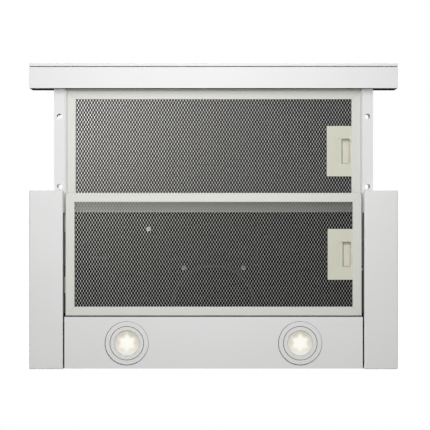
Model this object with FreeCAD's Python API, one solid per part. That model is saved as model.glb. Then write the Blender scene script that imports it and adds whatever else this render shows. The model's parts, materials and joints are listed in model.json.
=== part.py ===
import FreeCAD, Part
import math
import os

# Telescopic built-in range hood with its drawer pulled out.
# X runs across the hood, -Y is the front, +Z is up. The origin is on the floor
# plane under the middle of the whole hood, drawer out.

Vector = FreeCAD.Vector
origin = Vector(0, 0, 0)
along_x = Vector(1, 0, 0)
along_y = Vector(0, 1, 0)
along_z = Vector(0, 0, 1)

# Driving dimensions
hood_width = 598.0
body_depth = 290.0
body_height = 203.0
lower_height = 41.0
fascia_depth = 40.0
seat_width = 36.0
wing_width = 54.5
lamp_panel_depth = 83.8
filter_height = 9.0
filter_overlap = 33.3
sheet = 1.0
bend = 2.0

# Clearances and cutting values
overrun = 5.0
same_place = 0.01
running_gap = 0.05
sliding_gap = 0.3
screw_gap = 0.1

# Where the filters lie and what is beside them
wing_side_gap = 4.0
arm_side_gap = 1.8
body_filter_front_gap = 4.0
drawer_filter_front_gap = 1.7
panel_filter_gap = 1.9
body_filter_bottom = 1.0
drawer_filter_bottom = 18.5

# Places worked out from the driving dimensions
half_hood = hood_width / 2
half_body = half_hood - seat_width
wing_inner = half_hood - wing_width
half_filter = wing_inner - wing_side_gap
filter_width = 2 * half_filter
filter_depth = body_depth - sheet - lamp_panel_depth - panel_filter_gap - body_filter_front_gap
drawer_travel = filter_depth - filter_overlap
overall_depth = body_depth + drawer_travel + fascia_depth
body_back = overall_depth / 2
body_front = body_back - body_depth
fascia_back = body_front - drawer_travel
fascia_front = fascia_back - fascia_depth
wall_inside = half_body - sheet
back_inside = body_back - sheet
front_inside = body_front + sheet
arm_inner = half_filter + arm_side_gap
body_filter_front = body_front + body_filter_front_gap
drawer_filter_front = fascia_back + drawer_filter_front_gap

saved = {}


# General helpers
def block(x0, x1, y0, y1, z0, z1):
    return Part.makeBox(x1 - x0, y1 - y0, z1 - z0, Vector(x0, y0, z0))


def rod(radius, start, direction, length):
    return Part.makeCylinder(radius, length, start, direction)


def pipe(outer_radius, inner_radius, start, direction, length):
    outside = rod(outer_radius, start, direction, length)
    back = direction * -overrun
    inside = rod(inner_radius, start + back, direction, length + 2 * overrun)
    return outside.cut(inside)


def fuse_all(shapes):
    return shapes[0].multiFuse(shapes[1:]).removeSplitter()


def mirrored(shape):
    return shape.mirror(origin, along_x)


def edges_at(shape, x=None, y=None, z=None):
    found = []
    for edge in shape.Edges:
        box = edge.BoundBox
        spans = ((x, box.XMin, box.XMax), (y, box.YMin, box.YMax), (z, box.ZMin, box.ZMax))
        if all(place is None or (abs(low - place) < same_place and abs(high - place) < same_place)
               for place, low, high in spans):
            found.append(edge)
    return found


def prism(points, direction):
    wire = Part.makePolygon(points + [points[0]])
    return Part.Face(wire).extrude(direction)


def revolved(section, centre):
    # section holds (radius, height) pairs, turned about a vertical line
    points = [Vector(centre.x + radius, centre.y, centre.z + height) for radius, height in section]
    wire = Part.makePolygon(points + [points[0]])
    return Part.Face(wire).revolve(centre, along_z, 360)


def save(name, shapes):
    if not isinstance(shapes, list):
        shapes = [shapes]
    solids = [solid for shape in shapes for solid in shape.Solids]
    saved[name] = solids
    target = solids[0] if len(solids) == 1 else Part.makeCompound(solids)
    target.exportStep(os.path.join("parts", name + ".step"))


# Screws: one pattern for the whole hood, each with its own length
screw_radius = 2.0
screw_head_radius = 3.9
screw_head_height = 1.6
screw_slot_width = 0.9
screw_slot_depth = 0.9


def screw(place, direction, length):
    head = rod(screw_head_radius, place, direction * -1, screw_head_height)
    shank = rod(screw_radius, place, direction, length)
    head_top = place - direction * screw_head_height
    rotation = FreeCAD.Rotation(along_z, direction * -1)
    whole = head.fuse(shank)
    arm = screw_head_radius / 2
    half = screw_slot_width / 2
    for x, y in ((arm, half), (half, arm)):
        slot = block(-x, x, -y, y, -screw_slot_depth, overrun)
        slot.Placement = FreeCAD.Placement(head_top, rotation)
        whole = whole.cut(slot)
    return whole


def screw_holes(places):
    return [rod(screw_radius + screw_gap, place, direction, length) for place, direction, length in places]


def drilled(shape, places):
    for hole in screw_holes(places):
        if shape.BoundBox.intersect(hole.BoundBox):
            shape = shape.cut(hole)
    return shape


# Inner deck, blower and duct places, needed by the screws
deck_rise = 19.0
deck_z = lower_height + deck_rise
deck_top = deck_z + sheet
volute_radius = 96.0
volute_back_gap = 0.6
blower_y = back_inside - sheet - volute_radius - volute_back_gap
top_underside = body_height - sheet

# Duct collar: as wide as the room in front of the motor lets it be
motor_base_radius = 53.0
motor_duct_gap = 0.1
chimney_gap = 0.3
collar_wall = 1.5
collar_height = 35.0
collar_flange_width = 15.0
collar_front_gap = 3.0
collar_screw_inset = 7.0
collar_screw_angle = 45.0
collar_room = blower_y - motor_base_radius - motor_duct_gap - body_front
collar_radius = (collar_room - collar_front_gap - collar_flange_width - chimney_gap) / 2
collar_flange_radius = collar_radius + collar_flange_width
collar_screw_circle = collar_flange_radius - collar_screw_inset
collar_inner_radius = collar_radius - collar_wall
chimney_radius = collar_radius + chimney_gap
duct_y = body_front + collar_front_gap + collar_flange_radius

# Blower housing
volute_wall = 1.8
volute_front_margin = 6.0
volute_front_radius = collar_radius + volute_front_margin
volute_height = 76.0
blower_roof_z = deck_top + volute_height - volute_wall
blower_roof_top = deck_top + volute_height
boss_radius = 4.4
boss_height = 5.5
boss_inset = 15.5
boss_circle = volute_radius - boss_inset
boss_angle = 52.0

# Motor
motor_flange_width = 8.0
motor_screw_inset = 3.7
motor_radius = motor_base_radius - motor_flange_width
motor_screw_circle = motor_base_radius - motor_screw_inset
motor_base_thickness = 2.0
motor_boss_radius = 12.0
motor_boss_height = 3.5
motor_top_gap = 7.5
motor_height = top_underside - motor_top_gap - motor_boss_height - motor_base_thickness - blower_roof_top
motor_fillet = 5.0
shaft_radius = 4.0
shaft_in_motor = 16.0

# Control box, between the blower and the body's left wall
control_side_gap = 16.0
control_volute_gap = 4.0
control_front_gap = 12.0
control_depth = 90.0
control_left = control_side_gap - wall_inside
control_right = -volute_radius - control_volute_gap
control_front = body_front + control_front_gap
control_rear = control_front + control_depth
control_wall = 2.0
control_height = 38.0
control_screw_inset_x = 8.3
control_screw_setback = 51.1
control_boss_radius = 5.0
control_boss_height = 8.0

# Screws of the casing
top_screw_inset = 12.0
top_screw_setback = 30.0
front_screw_inset = 7.0
front_screw_drop = 14.0
casing_screw_length = 6.0
lamp_screw_spacing = 39.3
panel_seam = 2.5
lamp_side_gap = 101.3
half_panel = wing_inner - panel_seam
lamp_x = half_panel - lamp_side_gap
lamp_panel_tab_height = 23.0
lamp_panel_screw_z = 18.0


def around(radius, angle, centre_y, z):
    turn = math.radians(angle)
    return Vector(radius * math.sin(turn), centre_y + radius * math.cos(turn), z)


def control_screw_place(z):
    return Vector(control_right - control_screw_inset_x, control_front + control_screw_setback, z)


def casing_screw_places():
    places = []
    for angle in (boss_angle - 180, boss_angle, -boss_angle, 180 - boss_angle):
        # deck screws that hold the blower, heads below the deck
        places.append((around(boss_circle, 90 - angle, blower_y, deck_z), along_z, casing_screw_length))
    places.append((control_screw_place(deck_z), along_z, casing_screw_length))
    for side in (-1, 1):
        for y in (body_front + top_screw_setback, body_back - top_screw_setback):
            x = side * (half_body - top_screw_inset)
            places.append((Vector(x, y, body_height), along_z * -1, casing_screw_length))
        x = side * (wall_inside - front_screw_inset)
        for z in (lower_height + front_screw_drop, body_height - front_screw_drop):
            places.append((Vector(x, body_front, z), along_y, casing_screw_length))
        place = Vector(side * (lamp_x + lamp_screw_spacing), back_inside - sheet, lamp_panel_screw_z)
        places.append((place, along_y, 2 * sheet))
        for quarter in (0, 2):
            angle = collar_screw_angle + 90 * quarter
            x = side * abs(around(collar_screw_circle, angle, duct_y, 0).x)
            y = around(collar_screw_circle, angle, duct_y, 0).y
            place = Vector(x, y, body_height + collar_wall)
            places.append((place, along_z * -1, casing_screw_length))
    for angle in (0, 120, 240):
        place = around(motor_screw_circle, angle, blower_y, blower_roof_top + motor_base_thickness)
        places.append((place, along_z * -1, casing_screw_length))
    return places


casing_screws = casing_screw_places()


# Lower side wings: bent trays that carry the hood on the cabinet's side panels
wing_lip_height = 6.0
wing_cap_height = 12.0


def make_wing():
    outside = block(wing_inner, half_hood, body_front, body_back, 0, lower_height)
    lower = edges_at(outside, z=0)
    outer_front = edges_at(outside, x=half_hood, y=body_front)
    outer_back = edges_at(outside, x=half_hood, y=body_back)
    outside = outside.makeFillet(bend, lower + outer_front + outer_back)
    inner_bend = bend - sheet
    inside = block(wing_inner + sheet, half_hood - sheet, front_inside, back_inside,
                   sheet, lower_height - sheet)
    inside_lower = edges_at(inside, z=sheet)
    inside = inside.makeFillet(inner_bend, inside_lower)
    tray = outside.cut(inside)
    tray = tray.cut(block(wing_inner - overrun, half_body, body_front - overrun, body_back + overrun,
                          wing_cap_height, lower_height + overrun))
    return tray.cut(block(wing_inner - overrun, wing_inner + sheet + same_place, front_inside + bend,
                          back_inside - bend, wing_lip_height, lower_height))


# Body wrap: both sides and the back in one bent sheet
wrap_bottom_gap = 0.3
wrap_flange = 12.0
side_mount_radius = 2.25
side_mount_front = 32.0
side_mount_rear = 48.0
side_mount_spacing = body_depth - side_mount_front - side_mount_rear
side_mount_rise = 79.0
side_mount_z = lower_height + side_mount_rise


def round_rear_corners(shape, x, y, radius):
    return shape.makeFillet(radius, edges_at(shape, x=-x, y=y) + edges_at(shape, x=x, y=y))


def make_body_wrap():
    low = wing_cap_height + wrap_bottom_gap
    outside = block(-half_body, half_body, body_front, body_back, low, body_height)
    outside = round_rear_corners(outside, half_body, body_back, bend)
    inside = block(-wall_inside, wall_inside, body_front - overrun, back_inside,
                   low - overrun, body_height + overrun)
    inside = round_rear_corners(inside, wall_inside, back_inside, bend - sheet)
    wrap = outside.cut(inside)
    flange_low = lower_height + 2 * sheet
    for side in (-1, 1):
        x_in, x_out = sorted((side * wall_inside, side * half_body))
        skirt = block(x_in, x_out, front_inside + bend, back_inside - bend, sheet, low)
        x_in, x_out = sorted((side * (wall_inside - wrap_flange), side * wall_inside))
        flange = block(x_in, x_out, front_inside, front_inside + sheet, flange_low, body_height - sheet)
        wrap = fuse_all([wrap, skirt, flange])
        for y in (body_front + side_mount_front, body_front + side_mount_front + side_mount_spacing):
            start = Vector(side * (wall_inside - overrun), y, side_mount_z)
            wrap = wrap.cut(rod(side_mount_radius, start, along_x * side, 2 * overrun + sheet))
    return drilled(wrap, casing_screws)


def make_body_front_panel():
    low = lower_height + sheet
    panel = block(-wall_inside, wall_inside, body_front, front_inside, low, top_underside)
    hem = block(-(wall_inside - wrap_flange), wall_inside - wrap_flange, front_inside,
                front_inside + wrap_flange, low, low + sheet)
    return drilled(fuse_all([panel, hem]), casing_screws)


top_flange_drop = 12.0


def make_top_plate():
    plate = block(-wall_inside, wall_inside, body_front, back_inside, top_underside, body_height)
    plate = round_rear_corners(plate, wall_inside, back_inside, bend)
    flanges = []
    for side in (-1, 1):
        x_in, x_out = sorted((side * (wall_inside - sheet), side * wall_inside))
        flanges.append(block(x_in, x_out, front_inside + 2 * sheet, back_inside - bend,
                             top_underside - top_flange_drop, top_underside))
    plate = fuse_all([plate] + flanges)
    below = top_underside - overrun
    opening = rod(collar_inner_radius, Vector(0, duct_y, below), along_z, 3 * overrun)
    gland_hole = rod(gland_neck_radius + running_gap, Vector(gland_x, gland_y, below), along_z, 3 * overrun)
    return drilled(plate.cut(opening).cut(gland_hole), casing_screws)


# Inlet ring of the blower, seen through the filter's mesh
inlet_inset = 31.0
inlet_radius = volute_radius - inlet_inset
inlet_neck_wall = 2.5
inlet_lip_width = 6.0
inlet_lip_radius = inlet_radius + inlet_lip_width
inlet_lip_height = 4.5
inlet_neck_height = 4.0
deck_flange_height = 10.0


def make_inner_deck():
    deck = block(-wall_inside, wall_inside, front_inside + sheet, back_inside, deck_z, deck_top)
    deck = round_rear_corners(deck, wall_inside, back_inside, bend)
    flanges = []
    for side in (-1, 1):
        x_in, x_out = sorted((side * (wall_inside - sheet), side * wall_inside))
        flanges.append(block(x_in, x_out, front_inside + 2 * sheet, back_inside - bend,
                             deck_top, deck_top + deck_flange_height))
    deck = fuse_all([deck] + flanges)
    opening = rod(inlet_radius + inlet_neck_wall + running_gap, Vector(0, blower_y, deck_z - overrun),
                  along_z, 3 * overrun)
    return drilled(deck.cut(opening), casing_screws)


def make_inlet_ring():
    neck_radius = inlet_radius + inlet_neck_wall
    lip_mid = (inlet_radius + inlet_lip_radius) / 2
    section = [(inlet_radius, -inlet_lip_height / 2), (lip_mid, -inlet_lip_height),
               (inlet_lip_radius, -inlet_lip_height / 2), (inlet_lip_radius, 0), (neck_radius, 0),
               (neck_radius, inlet_neck_height), (inlet_radius, inlet_neck_height)]
    return revolved(section, Vector(0, blower_y, deck_z))


# Blower housing: a pear-shaped outline round the wheel and the duct
def pear_face(inset, z):
    back = volute_radius - inset
    front = volute_front_radius - inset
    reach = blower_y - duct_y
    lean = (back - front) / reach
    side = math.sqrt(1 - lean * lean)
    back_right = Vector(back * side, blower_y - back * lean, z)
    back_left = Vector(-back * side, blower_y - back * lean, z)
    front_right = Vector(front * side, duct_y - front * lean, z)
    front_left = Vector(-front * side, duct_y - front * lean, z)
    back_arc = Part.Arc(back_right, Vector(0, blower_y + back, z), back_left).toShape()
    front_arc = Part.Arc(front_left, Vector(0, duct_y - front, z), front_right).toShape()
    left_side = Part.LineSegment(back_left, front_left).toShape()
    right_side = Part.LineSegment(front_right, back_right).toShape()
    return Part.Face(Part.Wire([back_arc, left_side, front_arc, right_side]))


def make_blower_volute():
    height = blower_roof_z - deck_top
    outside = pear_face(0, deck_top).extrude(along_z * height)
    inside = pear_face(volute_wall, deck_top + volute_wall).extrude(along_z * height)
    volute = outside.cut(inside)
    below = Vector(0, blower_y, deck_top - overrun)
    volute = volute.cut(rod(inlet_lip_radius + sliding_gap, below, along_z, overrun + 2 * volute_wall))
    bosses = [rod(boss_radius, around(boss_circle, 90 - angle, blower_y, deck_top), along_z, boss_height)
              for angle in (boss_angle - 180, boss_angle, -boss_angle, 180 - boss_angle)]
    return drilled(fuse_all([volute] + bosses), casing_screws)



def make_blower_roof():
    plate = pear_face(0, blower_roof_z).extrude(along_z * volute_wall)
    chimney = rod(chimney_radius, Vector(0, duct_y, blower_roof_z), along_z, top_underside - blower_roof_z)
    whole = plate.fuse(chimney).removeSplitter()
    way = rod(collar_inner_radius, Vector(0, duct_y, blower_roof_z - overrun),
              along_z, top_underside - blower_roof_z + 2 * overrun)
    shaft_way = rod(2 * shaft_radius, Vector(0, blower_y, blower_roof_z - overrun), along_z,
                    volute_wall + 2 * overrun)
    return drilled(whole.cut(way).cut(shaft_way), casing_screws)


def make_motor():
    base = rod(motor_base_radius, Vector(0, blower_y, blower_roof_top), along_z, motor_base_thickness)
    can_bottom = blower_roof_top + motor_base_thickness
    can = rod(motor_radius, Vector(0, blower_y, can_bottom), along_z, motor_height)
    can = can.makeFillet(motor_fillet, edges_at(can, z=can_bottom + motor_height))
    boss = rod(motor_boss_radius, Vector(0, blower_y, can_bottom), along_z,
               motor_height + motor_boss_height)
    motor = fuse_all([base, can, boss])
    bore = rod(shaft_radius + running_gap, Vector(0, blower_y, blower_roof_top - overrun), along_z,
               overrun + shaft_in_motor + sliding_gap)
    return drilled(motor.cut(bore), casing_screws)


# Impeller with its shaft
impeller_inset = 21.0
impeller_radius = volute_radius - impeller_inset
blade_width = 12.0
impeller_inner_radius = impeller_radius - blade_width
impeller_rise = 7.0
impeller_top_gap = 7.0
impeller_height = volute_height - impeller_rise - impeller_top_gap
impeller_plate = 2.0
impeller_ring_width = 5.0
impeller_hub_radius = 14.0
impeller_hub_height = 14.0
blade_count = 36
blade_thickness = 1.1
blade_lean = 7.0


def make_blade(angle, low, high):
    def at(radius, turn):
        return around(radius, turn, blower_y, low)
    inner_turn = math.degrees(blade_thickness / impeller_inner_radius)
    outer_turn = math.degrees(blade_thickness / impeller_radius)
    tip = impeller_radius - blade_thickness / 2
    points = [at(impeller_inner_radius, angle), at(tip, angle + blade_lean),
              at(tip, angle + blade_lean + outer_turn), at(impeller_inner_radius, angle + inner_turn)]
    return prism(points, along_z * (high - low))


def make_impeller():
    low = deck_top + impeller_rise
    high = low + impeller_height
    ring_inner = impeller_radius - impeller_ring_width
    centre = Vector(0, blower_y, 0)
    plate_low = high - impeller_plate
    hub_low = high - impeller_hub_height
    pieces = [
        rod(impeller_radius, centre + along_z * plate_low, along_z, impeller_plate),
        pipe(impeller_radius, ring_inner, centre + along_z * low, along_z, impeller_plate),
        rod(impeller_hub_radius, centre + along_z * hub_low, along_z, impeller_hub_height),
        rod(shaft_radius, centre + along_z * high, along_z, blower_roof_top + shaft_in_motor - high),
    ]
    for number in range(blade_count):
        pieces.append(make_blade(number * 360 / blade_count, low + impeller_plate / 2,
                                 high - impeller_plate / 2))
    return fuse_all(pieces)


# Duct collar with its two non-return flaps on one pin
collar_ledge = 3.0
collar_ledge_rise = 11.0
collar_ledge_thickness = 1.0
flap_thickness = 1.5
flap_edge_gap = 0.8
flap_ledge_gap = 0.25
flap_pin_radius = 1.5
knuckle_radius = 3.0
knuckle_side_gap = 0.2
knuckle_count = 6
knuckle_end_gap = 4.5
knuckle_reach = collar_inner_radius - knuckle_end_gap
ledge_top = body_height + collar_ledge_rise + collar_ledge_thickness
flap_axis_z = ledge_top + flap_ledge_gap + flap_thickness / 2


def make_duct_collar():
    base = Vector(0, duct_y, body_height)
    flange = rod(collar_flange_radius, base, along_z, collar_wall)
    tube = rod(collar_radius, base, along_z, collar_height)
    inside = rod(collar_inner_radius, base - along_z * overrun, along_z, collar_height + 2 * overrun)
    collar = flange.fuse(tube).cut(inside)
    ledge = pipe(collar_inner_radius + collar_wall / 2, collar_inner_radius - collar_ledge,
                 base + along_z * collar_ledge_rise, along_z, collar_ledge_thickness)
    collar = fuse_all([collar, ledge])
    pin_way = rod(flap_pin_radius + running_gap, Vector(-collar_radius - overrun, duct_y, flap_axis_z),
                  along_x, 2 * (collar_radius + overrun))
    return drilled(collar.cut(pin_way), casing_screws)


def make_flap_pin():
    reach = math.sqrt(collar_radius ** 2 - flap_pin_radius ** 2)
    return rod(flap_pin_radius, Vector(-reach, duct_y, flap_axis_z), along_x, 2 * reach)


def make_flap(side):
    # side is -1 for the front flap and 1 for the rear flap
    radius = collar_inner_radius - flap_edge_gap
    start = knuckle_radius + knuckle_side_gap
    low = flap_axis_z - flap_thickness / 2
    disc = rod(radius, Vector(0, duct_y, low), along_z, flap_thickness)
    y_near, y_far = sorted((duct_y + side * start, duct_y + side * (radius + overrun)))
    pieces = [disc.common(block(-radius, radius, y_near, y_far, low, low + flap_thickness))]
    step = 2 * knuckle_reach / knuckle_count
    for number in range(knuckle_count):
        if number % 2 == (0 if side < 0 else 1):
            x0 = -knuckle_reach + number * step + knuckle_side_gap
            x1 = x0 + step - 2 * knuckle_side_gap
            pieces.append(rod(knuckle_radius, Vector(x0, duct_y, flap_axis_z), along_x, x1 - x0))
            y_near, y_far = sorted((duct_y, duct_y + side * (start + flap_thickness)))
            pieces.append(block(x0, x1, y_near, y_far, low, low + flap_thickness))
    bore = rod(flap_pin_radius + running_gap, Vector(-radius, duct_y, flap_axis_z), along_x, 2 * radius)
    return fuse_all(pieces).cut(bore)


# Control box on the deck, with its board, capacitor and lid
lid_thickness = 2.0
board_thickness = 1.6
board_rise = 9.0
board_inset = 6.0
board_post_radius = 4.0
transformer_size = 30.0
transformer_height = 20.0
terminal_width = 44.0
terminal_depth = 14.0
terminal_height = 12.0
capacitor_radius = 12.0
capacitor_length = 52.0


def make_control_box():
    top = deck_top + control_height
    outside = block(control_left, control_right, control_front, control_rear, deck_top, top)
    corners = [edge for edge in outside.Edges if abs(edge.BoundBox.ZLength - control_height) < same_place]
    outside = outside.makeFillet(bend, corners)
    inside = block(control_left + control_wall, control_right - control_wall, control_front + control_wall,
                   control_rear - control_wall, deck_top + control_wall, top + overrun)
    boss = rod(control_boss_radius, control_screw_place(deck_top), along_z, control_boss_height)
    pieces = [outside.cut(inside), boss]
    for x in (control_left + control_wall + board_inset + board_post_radius,
              control_right - 2 * control_wall - 2 * control_boss_radius - board_inset - board_post_radius):
        for y in (control_front + control_wall + board_inset + board_post_radius,
                  control_rear - control_wall - board_inset - board_post_radius):
            pieces.append(rod(board_post_radius, Vector(x, y, deck_top), along_z, board_rise))
    return drilled(fuse_all(pieces), casing_screws)


def make_control_box_lid():
    top = deck_top + control_height
    lid = block(control_left, control_right, control_front, control_rear, top, top + lid_thickness)
    lid = lid.makeFillet(bend, [edge for edge in lid.Edges
                                if abs(edge.BoundBox.ZLength - lid_thickness) < same_place])
    rim_gap = control_wall + sliding_gap
    rim = block(control_left + rim_gap, control_right - rim_gap, control_front + rim_gap,
                control_rear - rim_gap, top - lid_thickness, top)
    inner = rim_gap + control_wall
    hollow = block(control_left + inner, control_right - inner, control_front + inner, control_rear - inner,
                   top - lid_thickness - overrun, top)
    return fuse_all([lid, rim.cut(hollow)])


def control_board_right():
    return control_right - 2 * control_wall - 2 * control_boss_radius - board_inset / 2


def make_control_board():
    left = control_left + control_wall + board_inset / 2
    front = control_front + control_wall + board_inset / 2
    rear = control_rear - control_wall - board_inset / 2
    low = deck_top + board_rise
    top = low + board_thickness
    board = block(left, control_board_right(), front, rear, low, top)
    transformer = block(left + board_inset, left + board_inset + transformer_size, front + board_inset,
                        front + board_inset + transformer_size, top, top + transformer_height)
    terminals = block(control_board_right() - terminal_width, control_board_right(), front + board_inset,
                      front + board_inset + terminal_depth, top, top + terminal_height)
    return fuse_all([board, transformer, terminals])


def make_capacitor():
    top = deck_top + board_rise + board_thickness
    place = Vector(control_board_right() - capacitor_length - board_inset,
                   control_rear - control_wall - board_inset - capacitor_radius, top + capacitor_radius)
    can = rod(capacitor_radius, place, along_x, capacitor_length)
    rims = edges_at(can, x=place.x) + edges_at(can, x=place.x + capacitor_length)
    return can.makeFillet(board_thickness, rims)


# Cable gland in the top plate
gland_inset = 62.0
gland_setback = 33.0
gland_x = gland_inset - wall_inside
gland_y = body_back - gland_setback
gland_neck_radius = 8.0
gland_bore_radius = 4.0
gland_flange_radius = 11.0
gland_flange_height = 4.0
gland_nut_radius = 10.5
gland_nut_height = 6.0


def make_cable_gland():
    nut_bottom = -sheet - gland_nut_height
    section = [(gland_bore_radius, nut_bottom), (gland_nut_radius, nut_bottom),
               (gland_nut_radius, -sheet), (gland_neck_radius, -sheet), (gland_neck_radius, 0),
               (gland_flange_radius, 0), (gland_flange_radius, gland_flange_height / 2),
               (gland_neck_radius, gland_flange_height), (gland_bore_radius, gland_flange_height)]
    return revolved(section, Vector(gland_x, gland_y, body_height))


# Lamp panel with its two lamps
panel_front_flange = 11.0
lamp_setback = 42.2
lamp_y = body_back - lamp_setback
lamp_panel_bottom = sheet
lamp_panel_front = body_filter_front + filter_depth + panel_filter_gap
bezel_radius = 35.0
bezel_groove_radius = 27.25
bezel_groove_width = 0.7
bezel_groove_depth = 0.4
bezel_proud = 0.8
bezel_neck_outer = 31.5
bezel_neck_wall = 1.5
bezel_neck_height = 9.0
lens_radius = 23.0
lens_opening_radius = 21.0
lens_thickness = 2.0
lens_ledge = 1.0
reflector_top_radius = 9.0
reflector_height = 12.0
lamp_body_height = 22.0
led_chip_size = 9.0
led_chip_height = 1.2


def make_lamp_panel():
    half = half_panel
    low = lamp_panel_bottom
    front = lamp_panel_front
    rear = back_inside
    pieces = [block(-half, half, front, rear, low, low + sheet),
              block(-half, half, front, front + sheet, low, low + panel_front_flange),
              block(-half, half, rear - sheet, rear, low, low + lamp_panel_tab_height)]
    for side in (-1, 1):
        x_in, x_out = sorted((side * (half - sheet), side * half))
        pieces.append(block(x_in, x_out, front, rear, low, low + panel_front_flange))
    panel = fuse_all(pieces)
    for side in (-1, 1):
        start = Vector(side * lamp_x, lamp_y, lamp_panel_bottom - overrun)
        panel = panel.cut(rod(bezel_neck_outer + running_gap, start, along_z, 2 * overrun))
    return drilled(panel, casing_screws)


def make_lamp_bezel(side):
    neck_inner = bezel_neck_outer - bezel_neck_wall
    groove_in = bezel_groove_radius - bezel_groove_width / 2
    groove_out = bezel_groove_radius + bezel_groove_width / 2
    section = [(lens_opening_radius, -bezel_proud), (groove_in, -bezel_proud),
               (bezel_groove_radius, -bezel_proud + bezel_groove_depth), (groove_out, -bezel_proud),
               (bezel_radius - bezel_proud, -bezel_proud), (bezel_radius, 0),
               (bezel_neck_outer, 0), (bezel_neck_outer, bezel_neck_height),
               (neck_inner, bezel_neck_height), (neck_inner, lens_ledge - bezel_proud + same_place),
               (lens_opening_radius, lens_ledge - bezel_proud)]
    return revolved(section, Vector(side * lamp_x, lamp_y, lamp_panel_bottom))


lens_bottom = lamp_panel_bottom + lens_ledge - bezel_proud + sliding_gap / 3


def make_lamp_lens(side):
    return rod(lens_radius, Vector(side * lamp_x, lamp_y, lens_bottom), along_z, lens_thickness)


def make_lamp_body(side):
    bottom = lens_bottom
    lens_top = lens_thickness + running_gap
    cone_top = lens_top + reflector_height
    outer = bezel_neck_outer - bezel_neck_wall - running_gap
    fin_radius = outer - 3 * bezel_neck_wall
    section = [(lens_radius + running_gap, 0), (outer, 0), (outer, bezel_neck_height),
               (fin_radius, bezel_neck_height), (fin_radius, lamp_body_height), (0, lamp_body_height),
               (0, cone_top), (reflector_top_radius, cone_top), (lens_opening_radius, lens_top),
               (lens_radius + running_gap, lens_top)]
    centre = Vector(side * lamp_x, lamp_y, bottom)
    body = revolved(section, centre)
    chip = block(-led_chip_size / 2, led_chip_size / 2, -led_chip_size / 2, led_chip_size / 2,
                 cone_top - led_chip_height, cone_top)
    chip.translate(centre)
    return [body, chip]


# Telescopic slides on the body's side walls, beside the drawer arms
arm_bottom = 14.0
arm_height = lower_height - sheet - arm_bottom
rail_inset = 4.0
rail_bottom = arm_bottom + rail_inset
rail_height = arm_height - 2 * rail_inset
rail_sheet = 1.2
rail_width = 9.0
rail_web = 1.0
rail_front_gap = 1.0
rail_rear_gap = 7.0
ball_radius = 1.5
inner_rail_web_x = 8.0
inner_rail_flange = 5.5
cage_sheet = 0.6
cage_web_gap = 0.5
ball_count = 6
cage_end_gap = 4.0
arm_rear_gap = 2.0
arm_rear = body_back - drawer_travel - arm_rear_gap
inner_rail_setback = 8.0
inner_rail_rear_gap = 6.5
spacer_radius = 5.0
spacer_tongue_gap = 31.7
spacer_rear_gap = 18.0
rail_front = front_inside + rail_front_gap
rail_rear = back_inside - rail_rear_gap


def make_rail_outer():
    low = rail_bottom
    high = rail_bottom + rail_height
    inner_face = wall_inside - rail_web
    tip = wall_inside - rail_width
    web = block(inner_face, wall_inside, rail_front, rail_rear, low, high)
    bottom = block(tip, wall_inside, rail_front, rail_rear, low, low + rail_sheet)
    top = block(tip, wall_inside, rail_front, rail_rear, high - rail_sheet, high)
    rear_stop = block(tip, wall_inside, rail_rear, rail_rear + rail_sheet, low, high)
    return fuse_all([web, bottom, top, rear_stop])


def inner_rail_span():
    gap = rail_sheet + 2 * ball_radius + 2 * running_gap
    return rail_bottom + gap, rail_bottom + rail_height - gap


def make_rail_inner():
    low, high = inner_rail_span()
    web_in = wall_inside - inner_rail_web_x
    tip = web_in + inner_rail_flange
    front = fascia_back + inner_rail_setback
    rear = arm_rear - inner_rail_rear_gap
    web = block(web_in, web_in + rail_sheet, front, rear, low, high)
    bottom = block(web_in, tip, front, rear, low, low + rail_sheet)
    top = block(web_in, tip, front, rear, high - rail_sheet, high)
    return fuse_all([web, bottom, top])


def make_ball_cage():
    low, high = inner_rail_span()
    web_x = wall_inside - rail_web - cage_web_gap - cage_sheet
    tip = wall_inside - inner_rail_web_x + rail_sheet
    ball_x = (web_x + tip) / 2
    front = rail_front + cage_end_gap
    rear = arm_rear - inner_rail_rear_gap - cage_end_gap
    low_ball = low - running_gap - ball_radius
    high_ball = high + running_gap + ball_radius
    pieces = [block(web_x, web_x + cage_sheet, front, rear, low_ball - cage_sheet / 2,
                    high_ball + cage_sheet / 2)]
    for z in (low_ball, high_ball):
        pieces.append(block(tip, web_x + cage_sheet, front, rear, z - cage_sheet / 2, z + cage_sheet / 2))
    cage = fuse_all(pieces)
    balls = []
    step = (rear - front) / ball_count
    for number in range(ball_count):
        y = front + step / 2 + number * step
        for z in (low_ball, high_ball):
            centre = Vector(ball_x, y, z)
            seat = rod(ball_radius + running_gap, centre - along_z * cage_sheet, along_z, 2 * cage_sheet)
            cage = cage.cut(seat)
            balls.append(Part.makeSphere(ball_radius, centre))
    return [cage] + balls


def make_rail_spacers():
    spacers = []
    start_x = arm_inner + sheet
    length = wall_inside - inner_rail_web_x - start_x
    z = rail_bottom + rail_height / 2
    front_tongue, rear_tongue = tongue_places(drawer_filter_front)
    for y in (front_tongue - spacer_tongue_gap, (front_tongue + rear_tongue) / 2,
              rear_tongue + spacer_tongue_gap, arm_rear - spacer_rear_gap):
        spacer = rod(spacer_radius, Vector(start_x, y, z), along_x, length)
        spacers.append(spacer)
        spacers.append(mirrored(spacer))
    return spacers


# Drawer arms: channels open outwards, with round holes through both flanges
arm_width = 18.0
arm_hole_radius = 4.35
arm_hole_setback = 44.7
arm_hole_body_gap = 6.7
tongue_width = 26.0
tongue_thickness = 1.5
tongue_reach = 2.5
tongue_rise = wing_lip_height - body_filter_bottom + screw_gap
tongue_inset = 50.0
slot_side_gap = 1.0
slot_height = 2.6
arm_screw_margin = 1.6
arm_screw_drop = screw_head_radius + arm_screw_margin
drawer_screw_length = 8.0


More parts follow.
